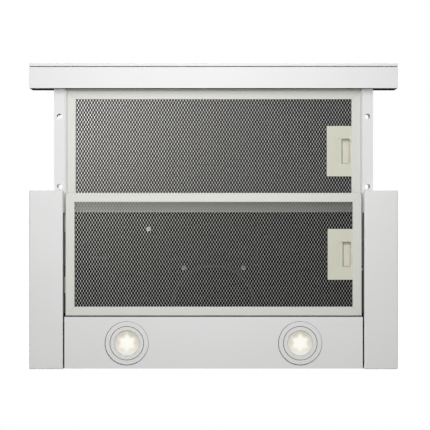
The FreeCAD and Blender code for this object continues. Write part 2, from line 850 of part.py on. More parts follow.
def drawer_screw_places():
    places = []
    for side in (-1, 1):
        x = side * (arm_inner + arm_width / 2)
        for z in (arm_bottom + arm_screw_drop, arm_bottom + arm_height - arm_screw_drop):
            places.append((Vector(x, fascia_back + sheet, z), along_y * -1, drawer_screw_length))
        x = side * (arm_inner - cover_flange / 2)
        place = Vector(x, arm_rear - crossbar_depth / 2, arm_bottom + arm_height)
        places.append((place, along_z * -1, drawer_screw_length / 2))
    return places


def make_drawer_arm():
    low = arm_bottom
    high = arm_bottom + arm_height
    tip = arm_inner + arm_width
    web = block(arm_inner, arm_inner + sheet, fascia_back, arm_rear, low, high)
    bottom = block(arm_inner, tip, fascia_back, arm_rear, low, low + sheet)
    top = block(arm_inner, tip, fascia_back, arm_rear, high - sheet, high)
    end = block(arm_inner, tip, fascia_back, fascia_back + sheet, low, high)
    arm = fuse_all([web, bottom, top, end])
    folds = edges_at(arm, x=arm_inner, z=low) + edges_at(arm, x=arm_inner, z=high)
    arm = arm.makeFillet(bend - sheet / 2, folds)
    for y in (fascia_back + arm_hole_setback, body_front - arm_hole_body_gap):
        start = Vector(arm_inner + arm_width / 2, y, low - overrun)
        arm = arm.cut(rod(arm_hole_radius, start, along_z, arm_height + 2 * overrun))
    return arm


def cut_tongue_slots(arm):
    # slots in the left arm's web for the tongues of the drawer filter
    slot_z = drawer_filter_bottom + tongue_rise - screw_gap
    for centre_y in tongue_places(drawer_filter_front):
        reach = tongue_width / 2 + slot_side_gap
        arm = arm.cut(block(-arm_inner - sheet - overrun, -arm_inner + overrun, centre_y - reach,
                            centre_y + reach, slot_z, slot_z + slot_height))
    return arm


# Drawer cover and rear crossbar
cover_filter_gap = 3.5
cover_flange = lower_height - 2 * sheet - drawer_filter_bottom - filter_height - cover_filter_gap
cover_rear_gap = 5.0
crossbar_depth = 10.0
crossbar_height = 9.5


def make_drawer_cover():
    top = arm_bottom + arm_height - sheet
    rear = drawer_filter_front + filter_depth - cover_rear_gap
    plate = block(-arm_inner, arm_inner, fascia_back, rear, top - sheet, top)
    low = top - cover_flange
    pieces = [plate, block(-arm_inner, arm_inner, fascia_back, fascia_back + sheet, low, top),
              block(-arm_inner, arm_inner, rear - sheet, rear, low, top)]
    for side in (-1, 1):
        x_in, x_out = sorted((side * (arm_inner - sheet), side * arm_inner))
        pieces.append(block(x_in, x_out, fascia_back, rear, low, top))
    return fuse_all(pieces)


def make_rear_crossbar():
    top = arm_bottom + arm_height
    bar = block(-arm_inner, arm_inner, arm_rear - crossbar_depth, arm_rear, top - crossbar_height, top)
    hollow = block(-arm_inner - overrun, arm_inner + overrun, arm_rear - crossbar_depth + sheet,
                   arm_rear - sheet, top - crossbar_height - overrun, top - sheet)
    return drilled(bar.cut(hollow), drawer_screws)


# Magnet on the crossbar and the reed switch above it that starts the blower
magnet_inset = 52.3
magnet_x = magnet_inset - arm_inner
magnet_width = 20.0
magnet_height = 6.0
reed_gap = 1.2
reed_width = 26.0
reed_depth = 14.0


def make_switch_magnet():
    low = arm_bottom + arm_height
    y_mid = arm_rear - crossbar_depth / 2
    half_depth = crossbar_depth / 2 - sheet
    magnet = block(magnet_x - magnet_width / 2, magnet_x + magnet_width / 2, y_mid - half_depth,
                   y_mid + half_depth, low, low + magnet_height)
    return magnet.makeFillet(sheet, edges_at(magnet, z=low + magnet_height))


def make_reed_switch():
    low = arm_bottom + arm_height + magnet_height + reed_gap
    y_mid = arm_rear - crossbar_depth / 2
    switch = block(magnet_x - reed_width / 2, magnet_x + reed_width / 2, y_mid - reed_depth / 2,
                   y_mid + reed_depth / 2, low, deck_z)
    return switch.makeFillet(sheet, edges_at(switch, z=low))


# Fascia: front tray, channel behind it and a dark rear cover
lip_depth = 4.2
groove_depth = 1.4
cover_thickness = 3.0
cover_boss_radius = 5.0
cover_boss_length = 12.0
channel_front = fascia_front + lip_depth + groove_depth
stud_radius = 6.0
stud_end_gap = 19.0
stud_shares = (-1, -0.39, 0.07, 0.53, 1)

# Push buttons on the fascia's left
button_count = 5
button_inset = 55.0
button_first_x = button_inset - half_hood
button_pitch = 17.0
button_z = lower_height / 2
button_hole_radius = 4.5
button_recess = 0.2
button_cap_depth = 3.6
button_stem_radius = 2.5
button_stem_length = 8.2
button_collar_radius = 3.6
button_collar_gap = 0.3
button_collar_thickness = 1.0
button_travel = 1.2
switch_gap = 0.2
switch_size = 7.0
switch_depth = 6.0
switch_well_depth = button_travel + switch_gap
circuit_thickness = 1.6
circuit_height = 24.0
circuit_margin = 16.0
standoff_radius = 3.0


def button_xs():
    return [button_first_x + number * button_pitch for number in range(button_count)]


button_tip = fascia_front + button_recess + button_cap_depth + button_stem_length
switch_front = button_tip + switch_gap
circuit_front = switch_front + switch_depth


def make_fascia_front():
    # a folded tray: face plate with returns on all four sides, mitred at the corners
    rear = fascia_front + lip_depth
    outside = block(-half_hood, half_hood, fascia_front, rear, 0, lower_height)
    edges = edges_at(outside, y=fascia_front)
    outside = outside.makeFillet(sheet, edges)
    inside = block(-half_hood + sheet, half_hood - sheet, fascia_front + sheet, rear + overrun,
                   sheet, lower_height - sheet)
    tray = outside.cut(inside)
    for side in (-1, 1):
        for z, rise in ((0, 1), (lower_height, -1)):
            mitre = lip_depth / 2
            corner = [Vector(side * (half_hood + same_place), rear - mitre, z - rise * same_place),
                      Vector(side * (half_hood + same_place), rear + same_place, z - rise * same_place),
                      Vector(side * (half_hood - mitre), rear + same_place, z - rise * same_place)]
            tray = tray.cut(prism(corner, along_z * rise * (sheet + 2 * same_place)))
    pieces = [tray]
    for share in stud_shares:
        start = Vector(share * (half_hood - stud_end_gap), fascia_front + sheet / 2, lower_height / 2)
        pieces.append(rod(stud_radius, start, along_y, lip_depth + groove_depth - sheet / 2))
    tray = fuse_all(pieces)
    for x in button_xs():
        start = Vector(x, fascia_front - overrun, button_z)
        tray = tray.cut(rod(button_hole_radius, start, along_y, 2 * overrun))
    return tray


def make_fascia_channel():
    outside = block(-half_hood, half_hood, channel_front, fascia_back, 0, lower_height)
    edges = edges_at(outside, y=channel_front)
    edges += edges_at(outside, x=-half_hood, z=0) + edges_at(outside, x=half_hood, z=0)
    outside = outside.makeFillet(sheet / 2, edges)
    inside = block(-half_hood + sheet, half_hood - sheet, channel_front + sheet, fascia_back + overrun,
                   sheet, lower_height - sheet)
    pieces = [outside.cut(inside)]
    for x in (button_first_x - circuit_margin / 2, button_xs()[-1] + circuit_margin / 2):
        start = Vector(x, channel_front + sheet / 2, button_z)
        pieces.append(rod(standoff_radius, start, along_y, circuit_front - channel_front - sheet / 2))
    channel = fuse_all(pieces)
    for x in button_xs():
        start = Vector(x, channel_front - overrun, button_z)
        channel = channel.cut(rod(button_stem_radius + running_gap, start, along_y, 2 * overrun))
    return channel


def make_fascia_rear_cover():
    gap = sheet + running_gap
    plate = block(-half_hood + gap, half_hood - gap, fascia_back - cover_thickness, fascia_back,
                  gap, lower_height - gap)
    pieces = [plate]
    for place, _, _ in drawer_screws:
        if place.y < fascia_back + overrun:
            start = Vector(place.x, fascia_back - cover_thickness, place.z)
            pieces.append(rod(cover_boss_radius, start, along_y * -1, cover_boss_length))
    return drilled(fuse_all(pieces), drawer_screws)


def make_switch_board():
    left = button_first_x - circuit_margin
    right = button_xs()[-1] + circuit_margin
    board = block(left, right, circuit_front, circuit_front + circuit_thickness,
                  button_z - circuit_height / 2, button_z + circuit_height / 2)
    pieces = [board]
    for x in button_xs():
        half = switch_size / 2
        pieces.append(block(x - half, x + half, switch_front, circuit_front,
                            button_z - half, button_z + half))
    whole = fuse_all(pieces)
    for x in button_xs():
        start = Vector(x, switch_front - overrun, button_z)
        whole = whole.cut(rod(button_stem_radius + running_gap, start, along_y,
                              overrun + switch_well_depth))
    return whole


def make_button(x):
    front = fascia_front + button_recess
    cap = rod(button_hole_radius - running_gap, Vector(x, front, button_z), along_y, button_cap_depth)
    cap = cap.makeFillet(button_recess * 2, edges_at(cap, y=front))
    stem = rod(button_stem_radius, Vector(x, front, button_z), along_y,
               button_cap_depth + button_stem_length)
    collar_y = channel_front + sheet + button_collar_gap
    collar = rod(button_collar_radius, Vector(x, collar_y, button_z), along_y, button_collar_thickness)
    return fuse_all([cap, stem, collar])


# Grease filters: four mitred channels, two perforated sheets and a latch
member_width = 14.5
member_wall = 1.0
member_hem = 1.0
member_hem_width = 4.0
member_round = 1.6
mitre_gap = 0.12
mesh_sheet = 0.6
mesh_edge_cover = 3.5
hole_pitch_x = 19.0
hole_pitch_y = 15.8
hole_radius = 6.6


def member(length):
    # lies along X from 0, outer face at y = 0, the filter's inside towards +Y
    height = filter_height
    wall = member_wall
    hem = wall + member_hem
    section = [(0, 0), (member_width, 0), (member_width, hem), (member_width - member_hem_width, hem),
               (member_width - member_hem_width, wall), (wall, wall), (wall, height - wall),
               (member_width, height - wall), (member_width, height), (0, height)]
    bar = prism([Vector(0, y, z) for y, z in section], along_x * length)
    outer_edges = edges_at(bar, y=0, z=0)
    bar = bar.makeFillet(member_round, outer_edges)
    ends = [Vector(mitre_gap, 0, -overrun), Vector(length - mitre_gap, 0, -overrun),
            Vector(length - member_width - mitre_gap, member_width, -overrun),
            Vector(member_width + mitre_gap, member_width, -overrun)]
    return bar.common(prism(ends, along_z * (height + 2 * overrun)))


def placed(shape, angle, place):
    copy = shape.copy()
    copy.Placement = FreeCAD.Placement(place, FreeCAD.Rotation(along_z, angle))
    return copy


def tongue_places(front):
    return (front + tongue_inset, front + filter_depth - tongue_inset)


def make_filter_frame(front, bottom):
    rear = front + filter_depth
    long_member = member(filter_width)
    short_member = member(filter_depth)
    front_member = placed(long_member, 0, Vector(-half_filter, front, bottom))
    rear_member = placed(long_member, 180, Vector(half_filter, rear, bottom))
    right_member = placed(short_member, 90, Vector(half_filter, front, bottom))
    left_member = placed(short_member, 270, Vector(-half_filter, rear, bottom))
    return front_member, rear_member, right_member, left_member


def add_tongues(left_member, front, bottom, reach):
    pieces = [left_member]
    low = bottom + tongue_rise
    for centre_y in tongue_places(front):
        pieces.append(block(-half_filter - reach, -half_filter + member_wall / 2,
                            centre_y - tongue_width / 2, centre_y + tongue_width / 2,
                            low, low + tongue_thickness))
    return fuse_all(pieces)


def make_filter_mesh(front, bottom):
    margin = member_wall + mesh_edge_cover
    left = -half_filter + margin
    right = half_filter - margin
    near = front + margin
    far = front + filter_depth - margin
    middle = front + filter_depth / 2
    notch_left = housing_left - sliding_gap
    notch_half = housing_length / 2 + sliding_gap
    outline = [Vector(left, near, 0), Vector(right, near, 0), Vector(right, middle - notch_half, 0),
               Vector(notch_left, middle - notch_half, 0), Vector(notch_left, middle + notch_half, 0),
               Vector(right, middle + notch_half, 0), Vector(right, far, 0), Vector(left, far, 0)]
    wires = [Part.makePolygon(outline + [outline[0]])]
    open_half_width = half_filter - member_width
    open_half_depth = filter_depth / 2 - member_width
    rows = int((open_half_depth - hole_radius) / hole_pitch_y)
    columns = int(open_half_width / hole_pitch_x)
    for row in range(-rows, rows + 1):
        shift = hole_pitch_x / 2 if row % 2 else 0
        for column in range(-columns - 1, columns + 1):
            x = column * hole_pitch_x + shift
            y = middle + row * hole_pitch_y
            beside_latch = x + hole_radius > notch_left - mesh_sheet
            beside_latch = beside_latch and abs(y - middle) < notch_half + hole_radius + mesh_sheet
            if abs(x) + hole_radius < open_half_width and not beside_latch:
                circle = Part.Circle(Vector(x, y, 0), along_z, hole_radius)
                wires.append(Part.Wire([circle.toShape()]))
    face = Part.makeFace(wires, "Part::FaceMakerBullseye")
    sheets = []
    for z in (bottom + member_wall + member_hem, bottom + filter_height - member_wall - mesh_sheet):
        sheet_solid = face.extrude(along_z * mesh_sheet)
        sheet_solid.translate(along_z * z)
        sheets.append(sheet_solid)
    return sheets


# Latch of a filter: a moulded housing with a window and a slider behind it
housing_width = 40.7
housing_length = 82.4
housing_right = half_filter - member_width
housing_left = housing_right - housing_width
housing_proud = 0.2
housing_face = 1.6
housing_wall = 1.2
housing_floor = 1.2
housing_depth = 8.4
window_width = 20.5
window_length = 41.0
window_round = 3.0
window_margin = 2.3
slider_bar = 6.2
slider_hidden = 1.0
slider_gap = 0.2
slider_thickness = 1.8
slider_rail_width = 5.0
latch_tip_gap = 0.4


def latch_window():
    right = housing_right - window_margin
    return right - window_width, right


def make_latch_housing(front, bottom):
    middle = front + filter_depth / 2
    low = bottom + housing_proud
    high = bottom + housing_depth
    half = housing_length / 2
    outside = block(housing_left, housing_right, middle - half, middle + half, low, high)
    outside = outside.makeChamfer(housing_proud * 2, edges_at(outside, z=low))
    inside = block(housing_left + housing_wall, housing_right - housing_wall, middle - half + housing_wall,
                   middle + half - housing_wall, low + housing_face, high - housing_floor)
    left, right = latch_window()
    window = block(left, right, middle - window_length / 2, middle + window_length / 2,
                   low - overrun, low + housing_face + same_place)
    uprights = [edge for edge in window.Edges if edge.BoundBox.ZLength > housing_face]
    window = window.makeFillet(window_round, uprights)
    housing = outside.cut(inside).cut(window)
    for rail in slider_rails(middle, bottom, half_filter, slider_gap):
        housing = housing.cut(rail)
    return housing


def slider_rails(middle, bottom, tip, gap):
    # the two rails that run from the finger bar to the outside of the frame
    left = latch_window()[0]
    low = bottom + tongue_rise
    rails = []
    for side in (-1, 1):
        y_in = middle + side * (window_length / 2 + slider_hidden)
        y_out = y_in + side * slider_rail_width
        y0, y1 = sorted((y_in, y_out))
        rails.append(block(left - slider_hidden - (overrun if gap else 0), tip + (overrun if gap else 0),
                           y0 - gap, y1 + gap, low - gap, low + slider_thickness + gap))
    return rails


def make_latch_slider(front, bottom, tip):
    middle = front + filter_depth / 2
    left = latch_window()[0]
    low = bottom + housing_proud + housing_face + slider_gap
    high = bottom + tongue_rise + slider_thickness
    half = window_length / 2 + slider_hidden + slider_rail_width
    bar = block(left - slider_hidden, left + slider_bar, middle - half, middle + half, low, high)
    return fuse_all([bar] + slider_rails(middle, bottom, tip, 0))


def cut_latch_ways(right_member, front, bottom):
    middle = front + filter_depth / 2
    for rail in slider_rails(middle, bottom, half_filter, slider_gap):
        right_member = right_member.cut(rail)
    return right_member


def save_filter(name, front, bottom, reach, tip):
    front_member, rear_member, right_member, left_member = make_filter_frame(front, bottom)
    left_member = add_tongues(left_member, front, bottom, reach)
    right_member = cut_latch_ways(right_member, front, bottom)
    save(name + "_frame", [front_member, rear_member, right_member, left_member])
    save(name + "_mesh", make_filter_mesh(front, bottom))
    save(name + "_latch_housing", make_latch_housing(front, bottom))
    save(name + "_latch_slider", make_latch_slider(front, bottom, tip))


os.makedirs("parts", exist_ok=True)
drawer_screws = drawer_screw_places()

# Casing
save("wing_right", make_wing())
save("wing_left", mirrored(make_wing()))
save("body_wrap", make_body_wrap())
save("body_front_panel", make_body_front_panel())
save("top_plate", make_top_plate())
save("inner_deck", make_inner_deck())
save("inlet_ring", make_inlet_ring())
save("lamp_panel", make_lamp_panel())
save("casing_screws", [screw(place, direction, length) for place, direction, length in casing_screws])
for side, name in ((-1, "left"), (1, "right")):
    save("lamp_bezel_" + name, make_lamp_bezel(side))
    save("lamp_lens_" + name, make_lamp_lens(side))
    save("lamp_body_" + name, make_lamp_body(side))

# Blower and duct
save("blower_volute", make_blower_volute())
save("blower_roof", make_blower_roof())
save("motor", make_motor())
save("impeller", make_impeller())
save("duct_collar", make_duct_collar())
save("flap_pin", make_flap_pin())
save("flap_front", make_flap(-1))
save("flap_rear", make_flap(1))

# Electrics
save("control_box", make_control_box())
save("control_box_lid", make_control_box_lid())
save("control_board", make_control_board())
save("capacitor", make_capacitor())
save("cable_gland", make_cable_gland())
save("reed_switch", make_reed_switch())
save("switch_magnet", make_switch_magnet())

# Slides and drawer
save("rail_outer_right", make_rail_outer())
save("rail_outer_left", mirrored(make_rail_outer()))
save("rail_inner_right", make_rail_inner())
save("rail_inner_left", mirrored(make_rail_inner()))
save("ball_cage_right", make_ball_cage())
save("ball_cage_left", [mirrored(shape) for shape in make_ball_cage()])
save("rail_spacers", make_rail_spacers())
save("drawer_arm_right", drilled(make_drawer_arm(), drawer_screws))
save("drawer_arm_left", cut_tongue_slots(drilled(mirrored(make_drawer_arm()), drawer_screws)))
save("drawer_cover", make_drawer_cover())
save("rear_crossbar", make_rear_crossbar())
save("drawer_screws", [screw(place, direction, length) for place, direction, length in drawer_screws])

# Fascia
save("fascia_front", make_fascia_front())
save("fascia_channel", make_fascia_channel())
save("fascia_rear_cover", make_fascia_rear_cover())
save("switch_board", make_switch_board())
for number, x in enumerate(button_xs()):
    save("button_%d" % (number + 1), make_button(x))

# Filters
save_filter("body_filter", body_filter_front, body_filter_bottom, wing_side_gap + tongue_reach,
            wing_inner - latch_tip_gap)
save_filter("drawer_filter", drawer_filter_front, drawer_filter_bottom, arm_side_gap + tongue_reach,
            arm_inner - latch_tip_gap)

for name, solids in sorted(saved.items()):
    box = Part.makeCompound(solids).BoundBox
    valid = all(solid.isValid() and solid.Volume > 0 for solid in solids)
    print(name, len(solids), "solids", "valid" if valid else "NOT VALID",
          "%.1f %.1f  %.1f %.1f  %.1f %.1f" % (box.XMin, box.XMax, box.YMin, box.YMax, box.ZMin, box.ZMax))
print("nodes", len(saved))
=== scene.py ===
# Telescopic range hood with its drawer pulled out, seen from straight below
import bpy
import bmesh
import json
import math
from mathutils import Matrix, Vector


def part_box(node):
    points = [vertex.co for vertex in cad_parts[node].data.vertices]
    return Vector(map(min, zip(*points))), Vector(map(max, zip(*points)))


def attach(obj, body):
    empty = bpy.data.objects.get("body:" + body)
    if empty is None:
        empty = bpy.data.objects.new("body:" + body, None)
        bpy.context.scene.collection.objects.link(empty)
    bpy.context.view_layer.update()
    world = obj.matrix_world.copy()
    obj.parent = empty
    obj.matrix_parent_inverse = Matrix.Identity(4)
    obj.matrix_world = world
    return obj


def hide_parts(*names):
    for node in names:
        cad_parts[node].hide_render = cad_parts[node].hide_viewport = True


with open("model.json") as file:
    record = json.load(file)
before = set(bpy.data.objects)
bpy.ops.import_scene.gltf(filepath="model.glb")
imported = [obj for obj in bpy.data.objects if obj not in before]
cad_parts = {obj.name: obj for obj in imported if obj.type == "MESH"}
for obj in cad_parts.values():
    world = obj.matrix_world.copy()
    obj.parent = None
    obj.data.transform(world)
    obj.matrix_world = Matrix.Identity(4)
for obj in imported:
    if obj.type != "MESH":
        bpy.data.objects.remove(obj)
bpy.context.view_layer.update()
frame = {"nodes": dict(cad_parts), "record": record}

mm = 0.001


# Small helpers for colours and nodes

def hexColour(text):
    # sRGB hex, turned to linear values
    channels = [int(text[i:i + 2], 16) / 255 for i in (0, 2, 4)]
    linear = [c / 12.92 if c <= 0.04045 else ((c + 0.055) / 1.055) ** 2.4 for c in channels]
    return (*linear, 1.0)


def setSteps(elements, steps):
    # a colour ramp's (place, colour) steps, from place 0 to place 1
    elements[0].color = hexColour(steps[0][1])
    elements[1].color = hexColour(steps[-1][1])
    for place, colour in steps[1:-1]:
        elements.new(place).color = hexColour(colour)


def setUp(tree, node, settings=None, links=None):
    # gives a node its settings and its links
    for key, value in (settings or {}).items():
        if key == "steps":
            setSteps(node.color_ramp.elements, value)
        elif isinstance(key, int) or key in node.inputs:
            node.inputs[key].default_value = value
        else:
            setattr(node, key, value)
    for key, socket in (links or {}).items():
        tree.links.new(socket, node.inputs[key])
    return node


def addNode(tree, kind, settings=None, links=None):
    return setUp(tree, tree.nodes.new(kind), settings, links)


def startMaterial(name):
    # a new material with its shader, its object coordinates and its tree
    material = bpy.data.materials.new(name)
    material.use_nodes = True
    tree = material.node_tree
    tree.nodes.clear()
    shader = addNode(tree, "ShaderNodeBsdfPrincipled")
    addNode(tree, "ShaderNodeOutputMaterial", links={"Surface": shader.outputs[0]})
    place = addNode(tree, "ShaderNodeTexCoord")
    return material, tree, shader, place.outputs["Object"]


def perMetre(sizeInMm):
    # how many repeats of a pattern fit in a metre
    return 1000 / sizeInMm


# Materials, each from what the real surface is, except where painted shade is said

powderCoats = {
    # casing and fascia: an even white
    "whitePowderCoatedSteel": {"pale": "F1F1F1", "deep": "ECECEC", "driftMm": 130, "peelMm": 0.9,
                               "roughness": 0.6},
    # lamp bezels: the same paint, a little smoother
    "bezelPowderCoat": {"pale": "F0F0EF", "deep": "EBEBEA", "driftMm": 60, "peelMm": 0.8, "roughness": 0.5},
}


def makePowderCoatedSteel(name, spec):
    # Powder-coated steel: sprayed and baked, so a soft sheen over a fine orange peel
    material, tree, shader, place = startMaterial(name)
    drift = addNode(tree, "ShaderNodeTexNoise", {"Scale": perMetre(spec["driftMm"]), "Detail": 2.0},
                    {"Vector": place})
    shade = addNode(tree, "ShaderNodeValToRGB", {"steps": ((0, spec["deep"]), (1, spec["pale"]))},
                    {"Fac": drift.outputs["Fac"]})
    peel = addNode(tree, "ShaderNodeTexNoise", {"Scale": perMetre(spec["peelMm"]), "Detail": 3.0},
                   {"Vector": place})
    bump = addNode(tree, "ShaderNodeBump", {"Strength": 0.12, "Distance": 0.03 * mm},
                   {"Height": peel.outputs["Fac"]})
    setUp(tree, shader, {"Roughness": spec["roughness"]},
          {"Base Color": shade.outputs[0], "Normal": bump.outputs[0]})
    return material


zincCoat = {"pale": "94989A", "deep": "7E8385", "spangleMm": 9, "grainMm": 1.2, "smoothest": 0.36,
            "roughest": 0.5, "metallic": 0.85}


def makeZincCoatedSteel(name, spec):
    # Hot-dip zinc on sheet steel: a dull grey with faint crystal spangles
    material, tree, shader, place = startMaterial(name)
    spangle = addNode(tree, "ShaderNodeTexVoronoi", {"Scale": perMetre(spec["spangleMm"])},
                      {"Vector": place})
    shade = addNode(tree, "ShaderNodeValToRGB", {"steps": ((0, spec["deep"]), (1, spec["pale"]))},
                    {"Fac": spangle.outputs["Color"]})
    gloss = addNode(tree, "ShaderNodeMapRange", {"To Min": spec["smoothest"], "To Max": spec["roughest"]},
                    {"Value": spangle.outputs["Distance"]})
    grain = addNode(tree, "ShaderNodeTexNoise", {"Scale": perMetre(spec["grainMm"]), "Detail": 2.0},
                    {"Vector": place})
    bump = addNode(tree, "ShaderNodeBump", {"Strength": 0.08, "Distance": 0.02 * mm},
                   {"Height": grain.outputs["Fac"]})
    setUp(tree, shader, {"Metallic": spec["metallic"]},
          {"Base Color": shade.outputs[0], "Roughness": gloss.outputs[0], "Normal": bump.outputs[0]})
    return material


aluminiumCoats = {
    # filter frames: a faint warm green from the clear dye
    "anodisedAluminium": {"pale": "E4E4DE", "deep": "DBDBD5", "lineMm": 0.35, "stretch": 40,
                          "roughness": 0.6, "metallic": 0.05},
    # motor can: die-cast, with an even grain
    "diecastAluminium": {"pale": "9A9DA0", "deep": "8C8F92", "lineMm": 1.4, "stretch": 1,
                         "roughness": 0.5, "metallic": 0.8},
}


def makeSatinAluminium(name, spec):
    # Satin aluminium, rolled or cast and then etched: dull, with fine lines where it was rolled
    material, tree, shader, place = startMaterial(name)
    stretched = addNode(tree, "ShaderNodeMapping", {"Scale": (1, 1 / spec["stretch"], 1)},
                        {"Vector": place})
    lines = addNode(tree, "ShaderNodeTexNoise", {"Scale": perMetre(spec["lineMm"]), "Detail": 2.0},
                    {"Vector": stretched.outputs[0]})
    shade = addNode(tree, "ShaderNodeValToRGB", {"steps": ((0, spec["deep"]), (1, spec["pale"]))},
                    {"Fac": lines.outputs["Fac"]})
    bump = addNode(tree, "ShaderNodeBump", {"Strength": 0.1, "Distance": 0.01 * mm},
                   {"Height": lines.outputs["Fac"]})
    setUp(tree, shader, {"Metallic": spec["metallic"], "Roughness": spec["roughness"]},
          {"Base Color": shade.outputs[0], "Normal": bump.outputs[0]})
    return material


grainUsual = {"grainMm": 0.5, "bump": 0.15, "gloss": 0.5}
grainedSurfaces = {
    # ABS and polypropylene from spark-eroded moulds
    "beigeAbs": {"pale": "DDDDCC", "deep": "D7D7C6", "roughness": 0.6},
    "pinkishAbs": {"pale": "E4DFD1", "deep": "DED9CB", "roughness": 0.5},
    "trimPlastic": {"pale": "E0E4E0", "deep": "DADEDA", "roughness": 0.5},
    "blackAbs": {"pale": "1B1B1D", "deep": "161618", "roughness": 0.55},
    # painted shade: near black for the fascia's shaded rear and for the shadow lines round the lamps
    "shadowBlackAbs": {"pale": "141415", "deep": "101011", "roughness": 0.9, "grainMm": 1.2, "bump": 0.3,
                     "gloss": 0.02},
    "greyPolypropylene": {"pale": "7C7F82", "deep": "74777A", "roughness": 0.5},
    "buttonAbs": {"pale": "D6D6D6", "deep": "D0D0D0", "roughness": 0.35, "grainMm": 0.4, "bump": 0.08},
    "capacitorCan": {"pale": "DEDEDA", "deep": "D8D8D4", "roughness": 0.3, "grainMm": 1.0, "bump": 0.05},
    # steel in painted shade: dark grey for the dark-steel parts such as the drawer cover, near black for
    # the deck and blower parts seen through the sheets
    "shadeGreySteel": {"pale": "323336", "deep": "2A2B2E", "roughness": 0.7, "grainMm": 1.0, "bump": 0.1,
                        "gloss": 0.2},
    "shadeBlackSteel": {"pale": "1C1D1E", "deep": "18191A", "roughness": 0.8, "grainMm": 1.0, "bump": 0.1,
                   "gloss": 0.1},
    # foamed and extruded rubber, open-pored and dull
    # painted shade: the foam's dark grey stands for the shade in the slits beside the body filter
    "shadeGreyFoam": {"pale": "5C5C5A", "deep": "4E4E4C", "roughness": 0.95, "grainMm": 1.0, "bump": 0.3,
                 "gloss": 0.05},
    # painted shade: the buffer's grey darkens the drawer filter's rear member where it shows through the
    # body filter's sheets
    "shadeGreyRubber": {"pale": "B4B5AD", "deep": "ACADA5", "roughness": 0.9, "grainMm": 1.0, "bump": 0.2,
                     "gloss": 0.05},
}


def makeGrainedSurface(name, spec):
    # A plain surface of plastic, rubber, foam or paint: an even colour under a fine leathery grain
    material, tree, shader, place = startMaterial(name)
    spec = {**grainUsual, **spec}
    grain = addNode(tree, "ShaderNodeTexNoise", {"Scale": perMetre(spec["grainMm"]), "Detail": 3.0},
                    {"Vector": place})
    shade = addNode(tree, "ShaderNodeValToRGB", {"steps": ((0, spec["deep"]), (1, spec["pale"]))},
                    {"Fac": grain.outputs["Fac"]})
    bump = addNode(tree, "ShaderNodeBump", {"Strength": spec["bump"], "Distance": 0.03 * mm},
                   {"Height": grain.outputs["Fac"]})
    setUp(tree, shader, {"Roughness": spec["roughness"], "Specular IOR Level": spec["gloss"]},
          {"Base Color": shade.outputs[0], "Normal": bump.outputs[0]})
    return material


metalUsual = {"lineMm": 0.3, "metallic": 1.0}
bareMetals = {
    # punched aluminium sheet: as lit in the drawer; over the blower the same sheet, darker with painted
    # shade; on top near black with painted shade
    "perforatedAluminium": {"pale": "C6C7C4", "deep": "BEBFBC", "roughness": 0.42, "metallic": 0.6},
    "shadedBodyAluminium": {"pale": "B6B7B4", "deep": "AEAFAC", "roughness": 0.42, "metallic": 0.6},
    # painted shade: the upper sheets' metal, near black for the shade behind the lower sheets
    "shadowedUpperAluminium": {"pale": "20201F", "deep": "1B1B1A", "roughness": 0.6, "metallic": 0.0},
    # zinc on rolled rails and on turned screws, and a vacuum-coated reflector
    "zincPlatedSteel": {"pale": "C4C7C9", "deep": "AEB2B5", "roughness": 0.3},
    "platedScrewSteel": {"pale": "CFD1D2", "deep": "BBBDBF", "roughness": 0.25},
    "vacuumCoatedReflector": {"pale": "DADAD6", "deep": "CFCFCB", "roughness": 0.22, "lineMm": 0.8},
}
drawnLines = {"stretch": 25, "smoother": 0.05, "rougher": 0.07}


def makeBareMetal(name, spec):
    # Bare or plated metal, rolled, drawn or turned: a soft mirror with fine drawing lines
    material, tree, shader, place = startMaterial(name)
    spec = {**metalUsual, **spec}
    stretched = addNode(tree, "ShaderNodeMapping", {"Scale": (1, 1 / drawnLines["stretch"], 1)},
                        {"Vector": place})
    lines = addNode(tree, "ShaderNodeTexNoise", {"Scale": perMetre(spec["lineMm"]), "Detail": 2.0},
                    {"Vector": stretched.outputs[0]})
    shade = addNode(tree, "ShaderNodeValToRGB", {"steps": ((0, spec["deep"]), (1, spec["pale"]))},
                    {"Fac": lines.outputs["Fac"]})
    gloss = addNode(tree, "ShaderNodeMapRange", {"To Min": spec["roughness"] - drawnLines["smoother"],
                                                 "To Max": spec["roughness"] + drawnLines["rougher"]},
                    {"Value": lines.outputs["Fac"]})
    setUp(tree, shader, {"Metallic": spec["metallic"]},
          {"Base Color": shade.outputs[0], "Roughness": gloss.outputs[0]})
    return material


circuitBoard = {"mask": "1E5B36", "track": "2C7A49", "patternMm": 25.6, "roughness": 0.3}


def makeCircuitBoard(name, spec):
    # Glass-epoxy board: green solder mask over copper tracks, four tracks to a repeat of the pattern
    material, tree, shader, place = startMaterial(name)
    tracks = addNode(tree, "ShaderNodeTexBrick", {"Scale": perMetre(spec["patternMm"]), "Mortar Size": 0.06,
                                                  "Color1": hexColour(spec["mask"]),
                                                  "Color2": hexColour(spec["mask"]),
                                                  "Mortar": hexColour(spec["track"])}, {"Vector": place})
    bump = addNode(tree, "ShaderNodeBump", {"Strength": 0.2, "Distance": 0.03 * mm},
                   {"Height": tracks.outputs["Fac"]})
    setUp(tree, shader, {"Roughness": spec["roughness"]},
          {"Base Color": tracks.outputs["Color"], "Normal": bump.outputs[0]})
    return material


lampGlass = {"tint": "F4F4F0", "frostMm": 1.5, "smoothest": 0.08, "roughest": 0.22, "alpha": 0.16}


def makeLampGlass(name, spec):
    # Pressed soda-lime glass with a light frost on its inner side
    material, tree, shader, place = startMaterial(name)
    frost = addNode(tree, "ShaderNodeTexNoise", {"Scale": perMetre(spec["frostMm"]), "Detail": 2.0},
                    {"Vector": place})
    gloss = addNode(tree, "ShaderNodeMapRange", {"To Min": spec["smoothest"], "To Max": spec["roughest"]},
                    {"Value": frost.outputs["Fac"]})
    setUp(tree, shader, {"Base Color": hexColour(spec["tint"]), "Alpha": spec["alpha"]},
          {"Roughness": gloss.outputs[0]})
    return material
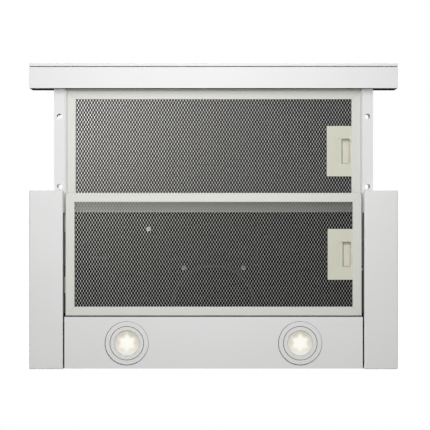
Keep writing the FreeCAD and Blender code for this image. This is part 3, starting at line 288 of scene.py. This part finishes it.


# The star's steps go outwards, as shares of its edge, and the reflector's painted shade goes from front to
# rear: dark at the front, light at the rear
lampGlow = {"star": ((0.0, "FDFDF6"), (0.64, "FCFBF2"), (0.82, "F6F0DF"), (1.1, "E2D9C9")),
            "ring": ((0.0, "B0AC9F"), (0.3, "C6BFB1"), (0.6, "D5D1C6"), (1.0, "EEEEE6")),
            "radiusMm": 14.0, "ringMm": 20, "lobes": 6, "lobeSwing": 0.13, "fadeFrom": 0.75, "fadeTo": 1.2,
            "body": "202020", "roughness": 0.3, "strength": 1.08}


def makeLampGlow(name, spec, centre):
    # A lit light-emitting diode under its moulded optic: a white star on a ring of the reflector's painted
    # reflection and shade, darker at its front
    material, tree, shader, place = startMaterial(name)
    centred = addNode(tree, "ShaderNodeMapping", {"Location": tuple(-c for c in centre)},
                      {"Vector": place})
    parts = addNode(tree, "ShaderNodeSeparateXYZ", links={0: centred.outputs[0]})
    # the star's edge swings in and out round the lamp
    turn = addNode(tree, "ShaderNodeMath", {"operation": "ARCTAN2"},
                   {0: parts.outputs["X"], 1: parts.outputs["Y"]})
    lobes = addNode(tree, "ShaderNodeMath", {"operation": "MULTIPLY", 1: spec["lobes"]},
                    {0: turn.outputs[0]})
    wave = addNode(tree, "ShaderNodeMath", {"operation": "COSINE"}, {0: lobes.outputs[0]})
    edge = spec["radiusMm"] * mm
    reach = addNode(tree, "ShaderNodeMath",
                    {"operation": "MULTIPLY_ADD", 1: edge * spec["lobeSwing"], 2: edge},
                    {0: wave.outputs[0]})
    flat = addNode(tree, "ShaderNodeVectorMath", {"operation": "MULTIPLY", 1: (1, 1, 0)},
                   {0: centred.outputs[0]})
    distance = addNode(tree, "ShaderNodeVectorMath", {"operation": "LENGTH"}, {0: flat.outputs[0]})
    share = addNode(tree, "ShaderNodeMath", {"operation": "DIVIDE"},
                    {0: distance.outputs["Value"], 1: reach.outputs[0]})
    starEnd = spec["star"][-1][0]
    outwards = addNode(tree, "ShaderNodeMath", {"operation": "DIVIDE", 1: starEnd}, {0: share.outputs[0]})
    star = addNode(tree, "ShaderNodeValToRGB",
                   {"steps": [(step / starEnd, colour) for step, colour in spec["star"]]},
                   {"Fac": outwards.outputs[0]})
    ringEnd = spec["ringMm"] * mm
    across = addNode(tree, "ShaderNodeMapRange", {"From Min": -ringEnd, "From Max": ringEnd},
                     {"Value": parts.outputs["Y"]})
    ring = addNode(tree, "ShaderNodeValToRGB", {"steps": spec["ring"]}, {"Fac": across.outputs[0]})
    fade = addNode(tree, "ShaderNodeMapRange", {"From Min": spec["fadeFrom"], "From Max": spec["fadeTo"]},
                   {"Value": share.outputs[0]})
    # sockets 6 and 7 and output 2 are the colours of a mix
    mixed = addNode(tree, "ShaderNodeMix", {"data_type": "RGBA"},
                    {0: fade.outputs[0], 6: star.outputs[0], 7: ring.outputs[0]})
    setUp(tree, shader, {"Emission Strength": spec["strength"], "Base Color": hexColour(spec["body"]),
                         "Roughness": spec["roughness"]}, {"Emission Color": mixed.outputs[2]})
    return material


materials = {"zincCoatedSteel": makeZincCoatedSteel("zincCoatedSteel", zincCoat),
             "glassEpoxyBoard": makeCircuitBoard("glassEpoxyBoard", circuitBoard),
             "pressedGlass": makeLampGlass("pressedGlass", lampGlass)}
for make, specs in ((makePowderCoatedSteel, powderCoats), (makeSatinAluminium, aluminiumCoats),
                    (makeGrainedSurface, grainedSurfaces), (makeBareMetal, bareMetals)):
    for name, spec in specs.items():
        materials[name] = make(name, spec)
print("materials made")

materialBySlot = {
    "white_steel": "whitePowderCoatedSteel", "zinc_steel": "zincCoatedSteel",
    "dark_steel": "shadeGreySteel", "slide_steel": "zincPlatedSteel", "ball_steel": "platedScrewSteel",
    "screw_steel": "platedScrewSteel", "magnet_metal": "platedScrewSteel",
    "motor_metal": "diecastAluminium", "anodised_frame": "anodisedAluminium",
    "perforated_sheet": "shadowedUpperAluminium",
    "latch_plastic": "beigeAbs", "black_plastic": "blackAbs", "grey_plastic": "greyPolypropylene",
    "button_plastic": "buttonAbs", "capacitor_can": "capacitorCan", "board": "glassEpoxyBoard",
    "bezel_metal": "bezelPowderCoat", "lens_glass": "pressedGlass", "reflector": "vacuumCoatedReflector",
}
# painted shade: the fascia's rear cover and what shows through the sheets get near-black colours for the
# shade they lie in
materialByNode = {"fascia_rear_cover": "shadowBlackAbs"}
for name in ("inner_deck", "rear_crossbar", "blower_roof", "blower_volute", "impeller", "motor"):
    materialByNode[name] = "shadeBlackSteel"
for row in frame["record"]["subparts"]:
    chosen = materialByNode.get(row["node"], materialBySlot[row["material_slot"]])
    for materialSlot in frame["nodes"][row["node"]].material_slots:
        materialSlot.material = materials[chosen]
print("frame nodes dressed")


def finishPiece(bm, name, materialName, body, nodes=(), smooth=False):
    # turns a bmesh into a piece of the object, riding on its body
    bmesh.ops.recalc_face_normals(bm, faces=bm.faces)
    mesh = bpy.data.meshes.new(name)
    bm.to_mesh(mesh)
    bm.free()
    for face in mesh.polygons:
        face.use_smooth = smooth
    piece = bpy.data.objects.new(name, mesh)
    bpy.context.scene.collection.objects.link(piece)
    mesh.materials.append(materials[materialName])
    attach(piece, body)
    if nodes:
        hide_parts(*nodes)
    return piece


def vertsOf(geom):
    return [part for part in geom if isinstance(part, bmesh.types.BMVert)]


def openEdgesOf(geom):
    return [part for part in geom if isinstance(part, bmesh.types.BMEdge) and part.is_boundary]


# Perforated sheets: staggered holes at their true pitch, two sheets to a filter.
# A hole is six-sided: its half width, its half height and the height of its shoulders
sheetSpec = {"pitchXMm": 4.75, "pitchYMm": 3.96, "lowerHoleMm": (1.9, 2.66, 1.47),
             "upperHoleMm": (1.78, 2.55, 1.35), "thicknessMm": 0.6, "notchGapMm": 0.3, "spareCells": 3,
             "mergeMm": 0.02, "cutMm": 0.001}
# the body filter's lower sheet takes the darker copy of the drawer's metal: painted shade
lowerSheetMaterials = {"drawer_filter": "perforatedAluminium", "body_filter": "shadedBodyAluminium"}


def holeCell(bm, spec, hole):
    # one hole in its six-sided cell, as a flat ring of six quads
    sides = 6
    pitchX = spec["pitchXMm"] * mm
    pitchY = spec["pitchYMm"] * mm
    # a corner is as far from this hole as from the two next ones
    tall = pitchY / 2 + pitchX * pitchX / (8 * pitchY)
    short = pitchY - tall
    corners = {90: (0, tall), 30: (pitchX / 2, short), 330: (pitchX / 2, -short),
               270: (0, -tall), 210: (-pitchX / 2, -short), 150: (-pitchX / 2, short)}
    halfWide, halfTall, shoulder = hole
    inner = bmesh.ops.create_circle(bm, segments=sides, radius=halfTall * mm)["verts"]
    for vert in inner:
        if abs(vert.co.x) > halfTall * mm / 2:
            vert.co.x = math.copysign(halfWide * mm, vert.co.x)
            vert.co.y = math.copysign(shoulder * mm, vert.co.y)
    outer = bmesh.ops.create_circle(bm, segments=sides, radius=pitchX)["verts"]
    for vert in outer:
        angle = round(math.degrees(math.atan2(vert.co.y, vert.co.x))) % 360
        vert.co.x, vert.co.y = corners[angle]
    edges = [edge for edge in bm.edges if all(v in inner for v in edge.verts)]
    edges += [edge for edge in bm.edges if all(v in outer for v in edge.verts)]
    bmesh.ops.bridge_loops(bm, edges=edges)


def inRow(bm, count, step, middle=(0, 0, 0)):
    # copies of what the bmesh holds, a step apart, in a row round the middle
    one = bpy.data.meshes.new("repeated")
    bm.to_mesh(one)
    bm.free()
    row = bmesh.new()
    for number in range(count):
        row.from_mesh(one)
        fresh = row.verts[-len(one.vertices):]
        shift = [s * (number - count / 2) + m for s, m in zip(step, middle)]
        bmesh.ops.translate(row, verts=fresh, vec=Vector(shift))
    bpy.data.meshes.remove(one)
    return row


def cutAcross(bm, axis, place, side=1, clear=False):
    # a cut square to an axis, which may clear what lies on that side of it
    point = Vector((0, 0, 0))
    point[axis] = place
    normal = Vector((0, 0, 0))
    normal[axis] = side
    bmesh.ops.bisect_plane(bm, geom=bm.verts[:] + bm.edges[:] + bm.faces[:], dist=sheetSpec["cutMm"] * mm,
                           plane_co=point, plane_no=normal, clear_outer=clear)


def perforatedSheet(name, nodeName, housingNode, body, top):
    spec = sheetSpec
    low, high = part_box(nodeName)
    middleY = (low[1] + high[1]) / 2
    pitchX = spec["pitchXMm"] * mm
    pitchY = spec["pitchYMm"] * mm
    columns = int((high[0] - low[0]) / pitchX) + spec["spareCells"]
    rows = int((high[1] - low[1]) / (2 * pitchY)) + spec["spareCells"]
    bm = bmesh.new()
    holeCell(bm, spec, spec["upperHoleMm"] if top else spec["lowerHoleMm"])
    shifted = bmesh.ops.duplicate(bm, geom=bm.verts[:] + bm.edges[:] + bm.faces[:])["geom"]
    bmesh.ops.translate(bm, verts=vertsOf(shifted), vec=Vector((pitchX / 2, pitchY, 0)))
    bm = inRow(bm, rows, (0, 2 * pitchY, 0))
    bm = inRow(bm, columns, (pitchX, 0, 0), (0, middleY, 0))
    bmesh.ops.remove_doubles(bm, verts=bm.verts, dist=spec["mergeMm"] * mm)
    for axis, place, side in ((0, low[0], -1), (0, high[0], 1), (1, low[1], -1), (1, high[1], 1)):
        cutAcross(bm, axis, place, side, clear=True)
    # the notch for the latch housing
    notchLow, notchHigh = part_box(housingNode)
    gap = spec["notchGapMm"] * mm
    left, front, rear = notchLow[0] - gap, notchLow[1] - gap, notchHigh[1] + gap
    for axis, place in ((0, left), (1, front), (1, rear)):
        cutAcross(bm, axis, place)
    centres = {face: face.calc_center_median() for face in bm.faces}
    inNotch = [face for face, centre in centres.items() if centre.x > left and front < centre.y < rear]
    bmesh.ops.delete(bm, geom=inNotch, context="FACES")
    thickness = spec["thicknessMm"] * mm
    z = high[2] - thickness if top else low[2]
    bmesh.ops.translate(bm, verts=bm.verts, vec=Vector((0, 0, z + thickness / 2)))
    # the upper sheet is the same metal, painted near black for the shade it lies in behind the lower sheet
    metal = "shadowedUpperAluminium" if top else lowerSheetMaterials[body]
    piece = finishPiece(bm, name, metal, body, (nodeName,))
    solid = piece.modifiers.new("thickness", "SOLIDIFY")
    solid.thickness = thickness
    solid.offset = 0
    print(name, "has", len(piece.data.polygons), "faces before its thickness")


filterWords = {"body_filter": "bodyFilter", "drawer_filter": "drawerFilter"}
for filterName, word in filterWords.items():
    housingNode = filterName + "_latch_housing"
    perforatedSheet(word + "LowerSheet", filterName + "_mesh", housingNode, filterName, top=False)
    perforatedSheet(word + "UpperSheet", filterName + "_mesh", housingNode, filterName, top=True)
print("perforated sheets made")


def boxPiece(low, high, name, materialName, body):
    # a plain piece between two corners
    bm = bmesh.new()
    bmesh.ops.create_cube(bm, size=1)
    bmesh.ops.scale(bm, verts=bm.verts, vec=Vector(high) - Vector(low))
    bmesh.ops.translate(bm, verts=bm.verts, vec=(Vector(low) + Vector(high)) / 2)
    finishPiece(bm, name, materialName, body)


# Plastic trims that close the slits beside the drawer filter. The left one is on its arm, and the
# filter's left edge turns above it. The right one is under the filter's edge and swings away with it
trimSpec = {"upMm": 0.2, "armHeightMm": 2.2, "armWideMm": 2.4, "filterWideMm": 2.1, "gapMm": 0.3,
            "frontMm": 1.0, "rearMm": 14.0}


def slitTrim(name, side):
    spec = trimSpec
    armLow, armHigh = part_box("drawer_arm_" + side)
    low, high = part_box("drawer_filter_frame")
    bottom = armLow[2] + spec["upMm"] * mm
    if side == "left":
        body = "drawer"
        left = armHigh[0]
        right = left + spec["armWideMm"] * mm
        top = bottom + spec["armHeightMm"] * mm
    else:
        body = "drawer_filter"
        right = armLow[0] - spec["gapMm"] * mm
        left = right - spec["filterWideMm"] * mm
        top = low[2]
    front = armLow[1] + spec["frontMm"] * mm
    rear = high[1] - spec["rearMm"] * mm
    boxPiece((left, front, bottom), (right, rear, top), name, "trimPlastic", body)


# A strip that seals the front of the drawer filter's frame
stripSpec = {"upMm": 0.4, "heightMm": 1.0, "wideMm": 1.5, "endMm": 1.0}


def frontStrip(name):
    spec = stripSpec
    low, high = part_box("drawer_filter_frame")
    # the frame has tongues on its left, so its half width is taken from its right
    half = high[0] - spec["endMm"] * mm
    bottom = low[2] + spec["upMm"] * mm
    top = bottom + spec["heightMm"] * mm
    boxPiece((-half, low[1] - spec["wideMm"] * mm, bottom), (half, low[1], top),
             name, "anodisedAluminium", "drawer_filter")


# Rubber under the drawer filter's rear member, where it lies over the body filter; its grey is painted
# shade on the member seen through the body filter's sheets
bufferSpec = {"insetMm": 3.0, "wideMm": 19.0, "edgeMm": 0.5, "thickMm": 0.6}


def bufferStrip(name):
    spec = bufferSpec
    low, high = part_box("drawer_filter_frame")
    half = high[0] - spec["insetMm"] * mm
    boxPiece((-half, high[1] - spec["wideMm"] * mm, low[2] - spec["thickMm"] * mm),
             (half, high[1] - spec["edgeMm"] * mm, low[2]),
             name, "shadeGreyRubber", "drawer_filter")


for side in ("left", "right"):
    slitTrim("slitTrim" + side.capitalize(), side)
frontStrip("drawerFilterStrip")
bufferStrip("drawerFilterBuffer")
print("trims and strips made")


# Foam seals on the casing, in the slits between the wings and the body filter; their dark grey is painted
# shade for the slits
foamSpec = {"insideMm": 0.2, "wideMm": 2.3, "upMm": 3.0, "heightMm": 1.8, "frontMm": 32.0, "rearMm": 4.0}


def foamSeal(name, side):
    spec = foamSpec
    wingLow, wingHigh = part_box("wing_" + side)
    low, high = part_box("body_filter_frame")
    if side == "left":
        left = wingHigh[0] + spec["insideMm"] * mm
        right = left + spec["wideMm"] * mm
    else:
        right = wingLow[0] - spec["insideMm"] * mm
        left = right - spec["wideMm"] * mm
    bottom = wingLow[2] + spec["upMm"] * mm
    front = low[1] + spec["frontMm"] * mm
    rear = high[1] - spec["rearMm"] * mm
    boxPiece((left, front, bottom), (right, rear, bottom + spec["heightMm"] * mm),
             name, "shadeGreyFoam", "casing")


for side in ("left", "right"):
    foamSeal("foamSeal" + side.capitalize(), side)
print("foam seals made")


# Lamps: a turned bezel with a groove, black rings of painted shadow, a lit optic and a pressed glass
lampSpec = {"segments": 96, "bezelMm": 35.0, "proudMm": 0.8, "faceMm": 2.2, "rimSlopeMm": 0.7,
            "rimTurnMm": 0.2, "glassMm": 21.0, "glassEdgeMm": 0.4, "lipMm": 1.0, "lipTurnMm": 0.3,
            "grooveMm": 27.25, "grooveHalfMm": 0.45, "grooveDeepMm": 1.4, "grooveWallMm": 1.2,
            "neckMm": 31.5, "neckWallMm": 1.5, "neckHeightMm": 9.0,
            "sealWideMm": 0.8, "sealThickMm": 0.5, "sealInMm": 0.4, "sealShiftMm": 0.3,
            "shadowLeanShare": 0.7, "opticMm": 19.6, "opticDomeMm": 0.8, "opticSkirtMm": 0.8,
            "opticUpMm": 3.4, "opticRingShares": (0.15, 0.2, 0.25), "axisMm": 0.001, "mergeMm": 0.001,
            "axisMergeMm": 0.01}


def spun(bm, profile, centre):
    # a profile of (radius, height) points in millimetres, turned about the lamp's axis
    verts = [bm.verts.new(centre + Vector((radius * mm, 0, height * mm))) for radius, height in profile]
    edges = [bm.edges.new((verts[i], verts[(i + 1) % len(verts)])) for i in range(len(verts))]
    bmesh.ops.spin(bm, geom=verts + edges, cent=centre, axis=(0, 0, 1), angle=2 * math.pi,
                   steps=lampSpec["segments"], use_merge=True)
    bmesh.ops.remove_doubles(bm, verts=bm.verts, dist=lampSpec["mergeMm"] * mm)


def lampBezel(name, nodeName, centre):
    spec = lampSpec
    glass, bezel, neck, height = spec["glassMm"], spec["bezelMm"], spec["neckMm"], spec["neckHeightMm"]
    proud = -spec["proudMm"]
    grooveIn = spec["grooveMm"] - spec["grooveHalfMm"]
    grooveOut = spec["grooveMm"] + spec["grooveHalfMm"]
    grooveTop = proud + spec["grooveDeepMm"]
    faceTop = proud + spec["faceMm"]
    lipTop = proud + spec["lipMm"]
    neckIn = neck - spec["neckWallMm"]
    lipOut = grooveIn - spec["grooveWallMm"]
    profile = [(glass, proud + spec["lipTurnMm"]), (glass + spec["lipTurnMm"], proud),
               (grooveIn, proud), (grooveIn, grooveTop), (grooveOut, grooveTop), (grooveOut, proud),
               (bezel - spec["rimSlopeMm"], proud), (bezel - spec["rimTurnMm"], proud + spec["rimTurnMm"]),
               (bezel, 0), (neck, 0), (neck, height), (neckIn, height), (neckIn, faceTop),
               (lipOut, faceTop), (lipOut, lipTop), (glass, lipTop)]
    bm = bmesh.new()
    spun(bm, profile, centre)
    finishPiece(bm, name, "bezelPowderCoat", "casing", (nodeName,))


def lampShadowRings(name, centre):
    # black rings in the bezel's groove and round its rim: painted shadow, two thin dark lines where the
    # groove and the rim's edge lie in shade
    spec = lampSpec
    proud = -spec["proudMm"]
    grooveIn = spec["grooveMm"] - spec["grooveHalfMm"]
    grooveOut = spec["grooveMm"] + spec["grooveHalfMm"]
    top = proud + spec["grooveDeepMm"]
    bottom = top - spec["sealThickMm"]
    bm = bmesh.new()
    spun(bm, [(grooveIn, bottom), (grooveOut, bottom), (grooveOut, top), (grooveIn, top)], centre)
    rimIn = spec["bezelMm"] - spec["sealShiftMm"]
    rimOut = rimIn + spec["sealWideMm"]
    rimBottom = proud + spec["sealInMm"]
    # the rim's ring is shifted to its left and rear, so its painted shadow line is wider there
    shift = spec["sealShiftMm"] * spec["shadowLeanShare"] * mm
    spun(bm, [(rimIn, rimBottom), (rimOut, rimBottom), (rimOut, 0), (rimIn, 0)],
         centre + Vector((-shift, shift, 0)))
    finishPiece(bm, name, "shadowBlackAbs", "casing")


def lampOptic(name, centre, glow):
    # the moulded lens over the light source: a shallow dome on a low skirt
    spec = lampSpec
    radius = spec["opticMm"] * mm
    bm = bmesh.new()
    bmesh.ops.create_circle(bm, segments=spec["segments"], radius=radius, cap_ends=True)
    for share in spec["opticRingShares"]:
        middle = max(bm.faces, key=lambda face: len(face.verts))
        bmesh.ops.inset_individual(bm, faces=[middle], thickness=share * radius)
    for vert in bm.verts:
        reach = vert.co.length / radius
        vert.co.z = -spec["opticDomeMm"] * mm * (1 - reach ** 2)
    skirt = bmesh.ops.extrude_edge_only(bm, edges=openEdgesOf(bm.edges))["geom"]
    bmesh.ops.translate(bm, verts=vertsOf(skirt), vec=Vector((0, 0, spec["opticSkirtMm"] * mm)))
    bmesh.ops.contextual_create(bm, geom=openEdgesOf(skirt))
    bmesh.ops.translate(bm, verts=bm.verts, vec=centre)
    finishPiece(bm, name, glow, "casing", smooth=True)


def lampGlassDisc(name, nodeName):
    spec = lampSpec
    low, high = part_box(nodeName)
    centre = (Vector(low) + Vector(high)) / 2
    radius = (high[0] - low[0]) / 2 / mm
    half = (high[2] - low[2]) / 2 / mm
    edge = spec["glassEdgeMm"]
    profile = [(spec["axisMm"], -half), (radius - edge, -half), (radius, edge - half),
               (radius, half - edge), (radius - edge, half), (spec["axisMm"], half)]
    bm = bmesh.new()
    spun(bm, profile, centre)
    bmesh.ops.remove_doubles(bm, verts=bm.verts, dist=spec["axisMergeMm"] * mm)
    finishPiece(bm, name, "pressedGlass", "casing", (nodeName,))


for side in ("left", "right"):
    low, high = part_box("lamp_bezel_" + side)
    word = side.capitalize()
    bezelCentre = (Vector(low) + Vector(high)) / 2
    bezelCentre.z = low[2] + lampSpec["proudMm"] * mm
    lampBezel("lampBezel" + word, "lamp_bezel_" + side, bezelCentre)
    lampShadowRings("lampShadowRings" + word, bezelCentre)
    opticCentre = bezelCentre + Vector((0, 0, lampSpec["opticUpMm"] * mm))
    glow = "litDiode" + word
    materials[glow] = makeLampGlow(glow, lampGlow, opticCentre)
    lampOptic("lampOptic" + word, opticCentre, glow)
    lampGlassDisc("lampGlass" + word, "lamp_lens_" + side)
print("lamps made")


# Latch housings: a moulded plate with four long facets falling to a round-cornered window
housingSpec = {"plateMm": 1.6, "facetRimMm": 1.1, "dipMm": 0.7, "insetMm": 1.0, "windowStartMm": 1.0,
               "windowMarginMm": 2.3, "windowHalfMm": 20.5, "windowRoundMm": 3.0, "roundSegments": 4,
               "nearMm": 0.5}


def latchHousing(name, nodeName, sliderNode, body):
    spec = housingSpec
    low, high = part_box(nodeName)
    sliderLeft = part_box(sliderNode)[0][0]
    # the window starts a little right of the slider's hidden left end
    windowLeft = sliderLeft + spec["windowStartMm"] * mm
    windowRight = high[0] - spec["windowMarginMm"] * mm
    windowHalf = spec["windowHalfMm"] * mm
    windowZ = low[2] + spec["dipMm"] * mm
    middleX = (low[0] + high[0]) / 2
    middleY = (low[1] + high[1]) / 2
    bm = bmesh.new()
    bmesh.ops.create_grid(bm, x_segments=1, y_segments=1, size=0.5)
    for vert in bm.verts:
        vert.co = (low[0] if vert.co.x < 0 else high[0], low[1] if vert.co.y < 0 else high[1], low[2])
    rim = bmesh.ops.inset_individual(bm, faces=bm.faces[:], thickness=spec["facetRimMm"] * mm)
    inner = [face for face in bm.faces if face not in rim["faces"]][0]
    bmesh.ops.inset_individual(bm, faces=[inner], thickness=spec["insetMm"] * mm)
    for vert in inner.verts:
        vert.co = (windowLeft if vert.co.x < middleX else windowRight,
                   middleY - windowHalf if vert.co.y < middleY else middleY + windowHalf, windowZ)
    bmesh.ops.bevel(bm, geom=list(inner.verts), offset=spec["windowRoundMm"] * mm,
                    segments=spec["roundSegments"], profile=0.5, affect="VERTICES", material=-1)
    windowCentre = Vector(((windowLeft + windowRight) / 2, middleY, windowZ))
    window = min(bm.faces, key=lambda face: (face.calc_center_median() - windowCentre).length)
    bmesh.ops.delete(bm, geom=[window], context="FACES_ONLY")
    # the window's wall and the box's outer walls go up from the plate
    near = spec["nearMm"] * mm
    boundary = openEdgesOf(bm.edges)
    windowEdges = [edge for edge in boundary
                   if all(windowLeft - near < vert.co.x < windowRight + near
                          and abs(vert.co.y - middleY) < windowHalf + near for vert in edge.verts)]
    outerEdges = [edge for edge in boundary if edge not in windowEdges]
    wall = bmesh.ops.extrude_edge_only(bm, edges=windowEdges)["geom"]
    for vert in vertsOf(wall):
        vert.co.z = low[2] + spec["plateMm"] * mm
    box = bmesh.ops.extrude_edge_only(bm, edges=outerEdges)["geom"]
    for vert in vertsOf(box):
        vert.co.z = high[2]
    bmesh.ops.contextual_create(bm, geom=openEdgesOf(box))
    finishPiece(bm, name, "beigeAbs", body, (nodeName,))


# Latch floors: a raised plate at the back of each window, with a slot left on both sides of it
floorSpec = {"barMm": 7.2, "fromBarMm": 2.6, "fromWallMm": 1.9, "frontMm": 5.5, "rearMm": 0.6,
             "deepMm": 6.2, "thickMm": 1.0}


def latchFloor(name, housingNode, sliderNode, body):
    spec = floorSpec
    low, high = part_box(housingNode)
    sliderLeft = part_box(sliderNode)[0][0]
    left = sliderLeft + (spec["barMm"] + spec["fromBarMm"]) * mm
    right = high[0] - (housingSpec["windowMarginMm"] + spec["fromWallMm"]) * mm
    middleY = (low[1] + high[1]) / 2
    front = middleY - (housingSpec["windowHalfMm"] - spec["frontMm"]) * mm
    rear = middleY + (housingSpec["windowHalfMm"] - spec["rearMm"]) * mm
    bottom = low[2] + spec["deepMm"] * mm
    boxPiece((left, front, bottom), (right, rear, bottom + spec["thickMm"] * mm),
             name, "pinkishAbs", body)


for filterName, word in filterWords.items():
    housingNode = filterName + "_latch_housing"
    sliderNode = filterName + "_latch_slider"
    latchHousing(word + "LatchHousing", housingNode, sliderNode, filterName)
    latchFloor(word + "LatchFloor", housingNode, sliderNode, filterName)
print("latches made")


# Camera: straight below, front of the hood at the top of the picture
cameraSpec = {"xMm": 2.35, "yMm": -2.2, "belowMm": 2150, "lensMm": 111.0, "sensorMm": 36, "nearMm": 50,
              "farMm": 100000}
cameraData = bpy.data.cameras.new("camera")
camera = bpy.data.objects.new("camera", cameraData)
bpy.context.scene.collection.objects.link(camera)
camera.location = (cameraSpec["xMm"] * mm, cameraSpec["yMm"] * mm, -cameraSpec["belowMm"] * mm)
camera.rotation_euler = (math.pi, 0, 0)
cameraData.sensor_width = cameraSpec["sensorMm"]
cameraData.lens = cameraSpec["lensMm"]
cameraData.clip_start = cameraSpec["nearMm"] * mm
cameraData.clip_end = cameraSpec["farMm"] * mm
bpy.context.scene.camera = camera


# The room: a painted floor far below the hood, and soft light from all round
roomSpec = {"floorMm": 3100, "floorRadiusMm": 9000, "floorSegments": 64, "pale": "E8E8E6", "deep": "E4E4E2",
            "driftMm": 667, "roughness": 0.8, "worldLight": 0.25}
bm = bmesh.new()
bmesh.ops.create_circle(bm, segments=roomSpec["floorSegments"], radius=roomSpec["floorRadiusMm"] * mm,
                        cap_ends=True)
bmesh.ops.translate(bm, verts=bm.verts, vec=Vector((0, 0, -roomSpec["floorMm"] * mm)))
floorMesh = bpy.data.meshes.new("floor")
bm.to_mesh(floorMesh)
bm.free()
floor = bpy.data.objects.new("floor", floorMesh)
bpy.context.scene.collection.objects.link(floor)
floorMaterial, floorTree, floorShader, floorPlace = startMaterial("paleFloor")
floorDrift = addNode(floorTree, "ShaderNodeTexNoise",
                     {"Scale": perMetre(roomSpec["driftMm"]), "Detail": 2.0}, {"Vector": floorPlace})
floorShade = addNode(floorTree, "ShaderNodeValToRGB",
                     {"steps": ((0, roomSpec["deep"]), (1, roomSpec["pale"]))},
                     {"Fac": floorDrift.outputs["Fac"]})
setUp(floorTree, floorShader, {"Roughness": roomSpec["roughness"]}, {"Base Color": floorShade.outputs[0]})
floorMesh.materials.append(floorMaterial)


def areaLight(name, place, target, size, watts, onPaint=True, onGloss=True):
    # places and sizes are in millimetres
    data = bpy.data.lights.new(name, "AREA")
    data.shape = "RECTANGLE"
    data.size, data.size_y = size[0] * mm, size[1] * mm
    data.energy = watts
    light = bpy.data.objects.new(name, data)
    bpy.context.scene.collection.objects.link(light)
    light.location = Vector(place) * mm
    direction = Vector(target) - Vector(place)
    light.rotation_euler = direction.to_track_quat("-Z", "Y").to_euler()
    light.visible_diffuse = onPaint
    light.visible_glossy = onGloss


# The key lights the paint, the card gives the bare metal its sheen, and two light the hood from above
lights = {
    "frontBelow": {"place": (-5, -320, -800), "target": (-20, 0, 0), "size": (420, 850), "watts": 5.55,
                   "onGloss": False},
    "leftCard": {"place": (-440, -420, -1200), "target": (0, 0, 0), "size": (560, 560), "watts": 17,
                 "onPaint": False},
    "overhead": {"place": (300, -1400, 2200), "target": (0, 0, 100), "size": (1800, 1800), "watts": 45},
    "behind": {"place": (-500, 2200, 1300), "target": (0, 0, 100), "size": (1600, 1200), "watts": 25},
}
for name, spec in lights.items():
    areaLight(name, **spec)

# The world is white to the camera and in gloss and glass, and dimmer as a light
world = bpy.data.worlds.new("room")
bpy.context.scene.world = world
world.use_nodes = True
worldTree = world.node_tree
worldTree.nodes.clear()
rays = addNode(worldTree, "ShaderNodeLightPath")
camOrGloss = addNode(worldTree, "ShaderNodeMath", {"operation": "MAXIMUM"},
                     {0: rays.outputs["Is Camera Ray"], 1: rays.outputs["Is Glossy Ray"]})
seen = addNode(worldTree, "ShaderNodeMath", {"operation": "MAXIMUM"},
               {0: camOrGloss.outputs[0], 1: rays.outputs["Is Transmission Ray"]})
strength = addNode(worldTree, "ShaderNodeMapRange", {"To Min": roomSpec["worldLight"], "To Max": 1.0},
                   {"Value": seen.outputs[0]})
background = addNode(worldTree, "ShaderNodeBackground", {"Color": (1, 1, 1, 1)},
                     {"Strength": strength.outputs[0]})
addNode(worldTree, "ShaderNodeOutputWorld", links={"Surface": background.outputs[0]})
bpy.context.scene.view_settings.view_transform = "Standard"
print("camera, floor and lights placed")
